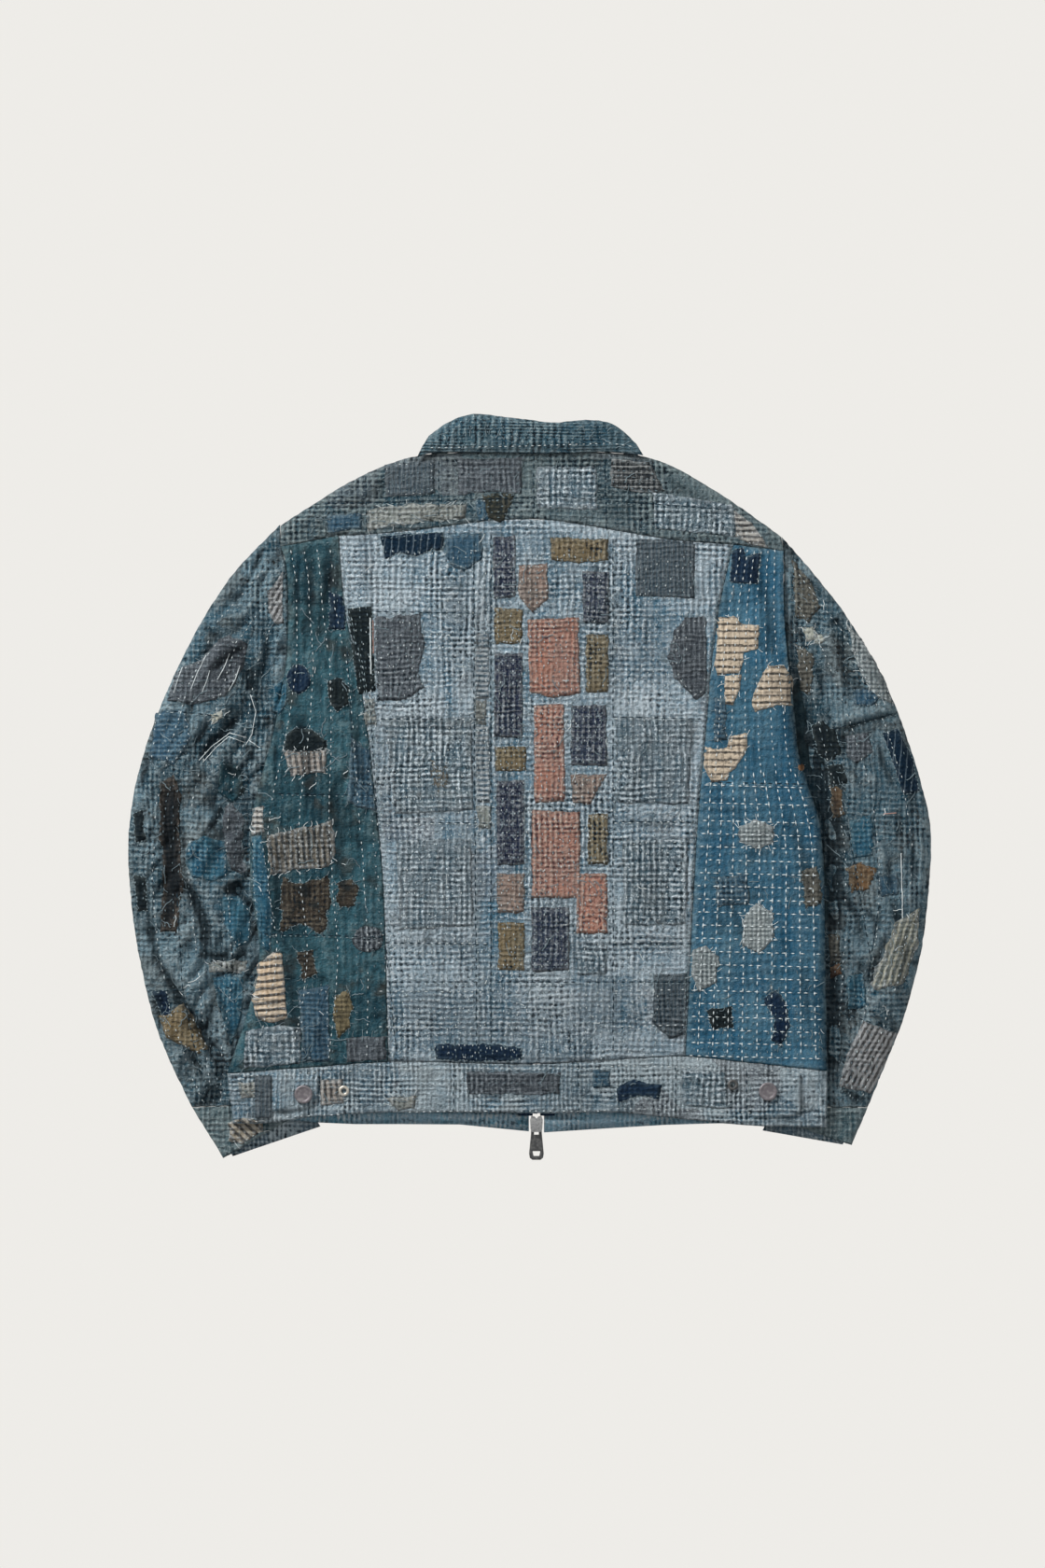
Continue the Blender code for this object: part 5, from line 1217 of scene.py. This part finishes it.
for source, (outer, inner) in ARMS.items():
    for k in range(11):
        path = [part_way(a, b, (k + 0.3) / 11) for a, b in zip(outer, inner)]
        sew(thread_mesh(source, "thread_grey"), path, 3.6, 4.6, 1.0, stray=1.6, skip=0.3)
        if k % 4 == 1:
            sew(thread_mesh(source, "thread_white"), path, 3.8, 4.4, 0.9, stray=0.6, skip=0.3)
for k, (ring, (source, style, fray, shape)) in enumerate(zip(outlines, PATCHES)):
    if style in ("black", "navy", "ochre", "brown", "navy_stripe"):
        sew(thread_mesh(source, "thread_pale"), ring + ring[:1], 3.6, 0.6, 0.9, 0.5, 0.12)
        continue
    if style == "rust" or len(ring) < SHORTEST_RING:
        continue
    mid = centre_of(ring)
    inset = [part_way(p, mid, 0.1) for p in ring[::3]]
    colour = "thread_grey" if k % 3 else "thread_white"
    sew(thread_mesh(source, colour), inset + inset[:1], 3.2, 4.0, 0.7, 0.4, 0.35)


def strand(bm, path, wide, tree):
    """A loose thread lying along a charted path."""
    sides = []
    points = [at(*p) for p in path]
    for k, (x, y) in enumerate(points):
        a, b = points[max(0, k - 1)], points[min(len(points) - 1, k + 1)]
        long = max(1e-6, math.dist(a, b))
        nx, ny = -(b[1] - a[1]) / long * wide * MM / 2, (b[0] - a[0]) / long * wide * MM / 2
        z = height(tree, x, y)
        if z < LOWEST_STRAND * MM:
            break
        z += 0.1 * MM
        sides.append([bm.verts.new(co) for co in ((x + nx, y + ny, z), (x, y, z + wide * MM * 0.8),
                                                  (x - nx, y - ny, z))])
    for a, b in zip(sides, sides[1:]):
        for k in range(2):
            bm.faces.new((a[k], a[k + 1], b[k + 1], b[k]))


STRAND_STEP = 2.2


def wander(x, y, turn, long, curl):
    path = [(x, y)]
    for k in range(int(long / STRAND_STEP)):
        turn += rng.uniform(-curl, curl)
        x += STRAND_STEP * math.cos(turn)
        y += STRAND_STEP * math.sin(turn)
        path.append((x, y))
    return path


LOOSE = [
    # panel, colour, how many, box x, y to x, y, usual length
    ("back_centre", "thread_grey", 130, 405, 590, 745, 1125, 15),
    ("back_centre", "thread_white", 30, 400, 580, 745, 1130, 9),
    ("back_side_left", "thread_grey", 34, 290, 620, 400, 1130, 16),
    ("back_side_left", "thread_white", 6, 290, 700, 400, 1130, 12),
    ("back_side_right", "thread_grey", 22, 760, 600, 870, 1130, 10),
    ("back_yoke", "thread_grey", 70, 330, 495, 800, 575, 11),
    ("sleeve_left", "thread_grey", 80, 150, 640, 290, 1180, 16),
    ("sleeve_left", "thread_white", 10, 160, 660, 280, 1150, 12),
    ("sleeve_right", "thread_grey", 80, 850, 620, 985, 1170, 13),
    ("sleeve_right", "thread_white", 10, 860, 640, 980, 1160, 9),
    ("waistband_back", "thread_grey", 44, 255, 1150, 880, 1198, 10),
    ("collar_fall", "thread_grey", 26, 465, 450, 670, 482, 8),
]
for source, colour, count, x0, y0, x1, y1, usual in LOOSE:
    bm = thread_mesh(source, colour)
    own = surface_of([panels[source]] + scraps.get(source, []))
    for k in range(count):
        x, y = rng.uniform(x0, x1), rng.uniform(y0, y1)
        path = wander(x, y, rng.uniform(0, math.tau), usual * rng.uniform(0.5, 1.6),
                      rng.choice((0.25, 0.5, 0.8)))
        if all(height(own, *at(*p)) > 2 * MM for p in path):
            strand(bm, path, rng.uniform(0.45, 0.75), top)
FRAY_STEP = {1: 5, 2: 3, 3: 2}
for ring, (source, style, fray, shape) in zip(outlines, PATCHES):
    pale_cloth = any(word in style for word in ("ticking", "gingham", "cream"))
    colour = "thread_white" if pale_cloth else "thread_grey"
    bm = thread_mesh(source, colour)
    mid = centre_of(ring)
    for x, y in ring[::FRAY_STEP[round(fray + 0.1)]]:
        if rng.random() < 0.6:
            turn = math.atan2(y - mid[1], x - mid[0]) + rng.uniform(-1.1, 1.1)
            strand(bm, wander(x, y, turn, rng.uniform(4.5, 9.0), 0.5), 0.45, top)
SEAM_LINES = [
    # panel, line: where the ground's own pieces meet
    ("back_centre", 508, 582, 508, 760, 511, 1130), ("back_centre", 526, 575, 526, 1128),
    ("back_centre", 657, 580, 657, 1128), ("back_centre", 400, 770, 525, 771),
    ("back_centre", 658, 768, 750, 770), ("back_centre", 410, 880, 525, 882),
    ("back_centre", 658, 880, 744, 881), ("back_centre", 414, 1010, 525, 1012),
    ("back_centre", 658, 1012, 738, 1011), ("back_centre", 420, 1052, 740, 1052),
    ("back_centre", 405, 655, 505, 657), ("back_centre", 412, 1000, 425, 1128),
    ("back_centre", 396, 745, 404, 870), ("back_yoke", 470, 496, 470, 564),
    ("back_yoke", 572, 490, 572, 556), ("back_yoke", 648, 494, 650, 566),
    ("back_yoke", 340, 540, 600, 532, 780, 546), ("back_yoke", 392, 512, 392, 570),
    ("waistband_back", 330, 1148, 331, 1196), ("waistband_back", 486, 1142, 486, 1190),
    ("waistband_back", 620, 1142, 620, 1190), ("waistband_back", 724, 1144, 724, 1196),
    ("waistband_back", 800, 1150, 800, 1204), ("sleeve_left", 190, 960, 196, 1060, 214, 1150),
    ("sleeve_left", 170, 760, 262, 770), ("sleeve_left", 160, 1062, 246, 1058),
    ("sleeve_right", 896, 780, 968, 762), ("sleeve_right", 904, 860, 934, 1030),
    ("sleeve_right", 905, 1086, 966, 1106), ("sleeve_right", 936, 866, 942, 968, 930, 1050),
    ("sleeve_right", 902, 668, 906, 760), ("back_side_left", 300, 850, 404, 852),
    ("back_side_left", 372, 700, 380, 850), ("back_side_left", 285, 1000, 414, 1004),
    ("back_side_right", 762, 838, 866, 840),
]
for source, *flat in SEAM_LINES:
    line = pairs(flat)
    sew(thread_mesh(source, "thread_dark"), line, 8.0, 0.8, 1.3, stray=0.3, skip=0.06)
    beside = [(x + 1.8, y + 1.8) for x, y in line]
    sew(thread_mesh(source, "thread_pale"), beside, 3.6, 2.4, 0.9, stray=0.5, skip=0.2)
PIPED = [(1.3, "thread_white", 396.5, 662, 397.5, 722), (0.9, "thread_rose", 399.5, 664, 400, 700),
         (0.9, "thread_white", 965, 914, 967, 984), (0.8, "thread_rose", 946, 872, 960, 871)]
for wide, colour, x0, y0, x1, y1 in PIPED:
    n = round(math.dist((x0, y0), (x1, y1)) / 2)
    source = "back_centre" if x0 < 740 else "sleeve_right"
    path = [(x0 + (x1 - x0) * k / n + 0.4 * rng.random(), y0 + (y1 - y0) * k / n) for k in range(n + 1)]
    strand(thread_mesh(source, colour), path, wide, top)
CROSSED = [
    # long hand threads over the left sleeve's grey scrap and its folds
    (182, 722, 200, 738, 232, 750), (180, 735, 200, 741, 228, 748), (186, 742, 190, 730, 196, 712),
    (257, 713, 252, 728, 244, 742), (217, 741, 222, 729, 226, 716), (205, 738, 212, 720, 222, 700),
    (262, 795, 245, 789, 232, 800, 216, 818), (264, 790, 246, 785, 226, 800, 212, 816),
    (268, 744, 274, 762, 270, 786, 262, 800), (246, 700, 240, 716, 232, 730),
]
for flat in CROSSED:
    path = []
    points = pairs(flat)
    for a, b in zip(points, points[1:]):
        n = max(2, round(math.dist(a, b) / STRAND_STEP))
        for x, y in (part_way(a, b, k, n) for k in range(n)):
            path.append((x, y + 0.4 * rng.random()))
    strand(thread_mesh("sleeve_left", "thread_white"), path, 0.6, top)
threads = {}
for (source, colour), bm in sewing.items():
    made = link("sewing_%s_%s" % (source, colour), close_mesh(bm, "sewing"), look(colour))
    threads.setdefault(source, []).append(made)
    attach(made, "jacket")


# Waistband tabs and the loop: stiff stitched cotton, sewn on at one end.
TABS = {"loop_left": "pinstripe", "tab_left": "band", "tab_right": "band"}
TAB_RIM, TAB_SINK, TAB_DROP = 5, 0.5, 1.5
for source, style in TABS.items():
    bm = open_mesh(upper_face(source, 2))
    rim = near_edge(bm, TAB_RIM * MM)
    for v, r in zip(bm.verts, rim):
        v.co.z -= TAB_SINK * MM * r * r
    made = edged(bm, "cloth_" + source, rim, TAB_DROP, style)[0]
    panels[source] = made
    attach(made, "jacket")
    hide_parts(source)


# Metal: die-cast zip sliders and pulls, tack buttons and eyelets, all worn.
def metal(name, tint, rough, spots):
    mat = bpy.data.materials.new(name)
    mat.use_nodes = True
    tree = mat.node_tree
    shader = tree.nodes["Principled BSDF"]
    where = node(tree, "ShaderNodeTexCoord").outputs["Object"]
    worn = step(tree, blobs(tree, where, 420, detail=4.0), 0.45, 0.65)
    colour = mix(tree, times(tree, worn, 0.7), tint, spots)
    tree.links.new(colour, shader.inputs["Base Color"])
    shader.inputs["Metallic"].default_value = 0.75
    tree.links.new(plus(tree, times(tree, worn, 0.2), rough), shader.inputs["Roughness"])
    lump = node(tree, "ShaderNodeBump", {"Strength": 0.3, "Distance": 0.0003,
                                         "Height": blobs(tree, where, 900)})
    tree.links.new(lump.outputs[0], shader.inputs["Normal"])
    return mat


METAL_WELD = 1e-5
METALS = {
    "slider": metal("slider_metal", (0.42, 0.42, 0.41), 0.42, (0.2, 0.2, 0.2)),
    "pull": metal("pull_metal", (0.09, 0.09, 0.09), 0.5, (0.2, 0.2, 0.19)),
    "button": metal("button_metal", (0.2, 0.18, 0.19), 0.5, (0.32, 0.3, 0.3)),
    "eyelet": metal("eyelet_metal", (0.62, 0.58, 0.5), 0.4, (0.4, 0.36, 0.3)),
}


def rounded_copy(source, style, width, body):
    bm = open_mesh(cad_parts[source].data, METAL_WELD)
    bmesh.ops.dissolve_limit(bm, angle_limit=0.02, verts=bm.verts, edges=bm.edges)
    ob = link("metal_" + source, close_mesh(bm, source), METALS[style])
    mod = ob.modifiers.new("round", "BEVEL")
    mod.width = width * MM
    mod.segments = 2
    mod.limit_method = "ANGLE"
    mod.angle_limit = 0.6
    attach(ob, body)
    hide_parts(source)
    return ob


METAL_PARTS = [
    ("slider_bottom", "slider", 0.5, "jacket"), ("slider_top", "slider", 0.5, "jacket"),
    ("pull_bottom", "pull", 0.3, "bottom_pull"), ("pull_top", "pull", 0.3, "top_pull"),
    ("tack_button_left", "button", 0.3, "jacket"), ("tack_button_right", "button", 0.3, "jacket"),
    ("eyelet_left", "eyelet", 0.2, "jacket"), ("eyelet_right", "pull", 0.2, "jacket"),
]
for source, style, width, body in METAL_PARTS:
    rounded_copy(source, style, width, body)


# The zip's chain, closed: a row of cast teeth from each tape, their heads
# wider than their roots and taking turns along the middle.
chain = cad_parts["zip_teeth"].data
lo, hi = (Vector(c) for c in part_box("zip_teeth"))
heights = {}
for v in chain.vertices:
    heights.setdefault(round(v.co.y, 4), []).append(v.co.z)
levels = sorted((y, (min(zs) + max(zs)) / 2) for y, zs in heights.items())
# millimetres: pitch, then half heights and half widths, and how far root and head reach
TOOTH_PITCH = 2.6
TOOTH_HIGH = 1.15
ROOT_HALF, HEAD_HALF = 0.7, 1.1
ROOT_OUT, NECK_OUT, HEAD_IN = 2.9, 0.6, 0.9
bm = bmesh.new()
count = int((hi.y - lo.y) / (TOOTH_PITCH * MM)) - 1
for k in range(count):
    y = lo.y + (k + 1) * TOOTH_PITCH * MM
    z = float(np.interp(y, [p[0] for p in levels], [p[1] for p in levels]))
    sign = 1 if k % 2 else -1
    middle = (lo.x + hi.x) / 2
    stations = ((middle + sign * ROOT_OUT * MM, ROOT_HALF), (middle + sign * NECK_OUT * MM, ROOT_HALF),
                (middle, HEAD_HALF), (middle - sign * HEAD_IN * MM, HEAD_HALF * 0.7))
    rings = []
    for x, half in stations:
        rings.append([bm.verts.new((x, y + a * half * MM, z + b * TOOTH_HIGH * MM)) for a, b in SQUARE])
    for a, b in zip(rings, rings[1:]):
        for m in range(4):
            n = (m + 1) % 4
            bm.faces.new((a[m], a[n], b[n], b[m]))
    bm.faces.new(rings[0][::-1])
    bm.faces.new(rings[-1])
bmesh.ops.recalc_face_normals(bm, faces=bm.faces)
made = link("metal_zip_teeth", close_mesh(bm, "zip_teeth"), METALS["slider"])
made.data.shade_flat()
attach(made, "jacket")
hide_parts("zip_teeth")


# Sheets of cloth: what each panel was cut to, and what is sewn on it. A hidden
# piece is a closed wall, so it counts for half of its faces.
for source, ob in panels.items():
    lo, hi = (Vector(c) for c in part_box(source))
    wide, long = hi.x - lo.x, hi.y - lo.y
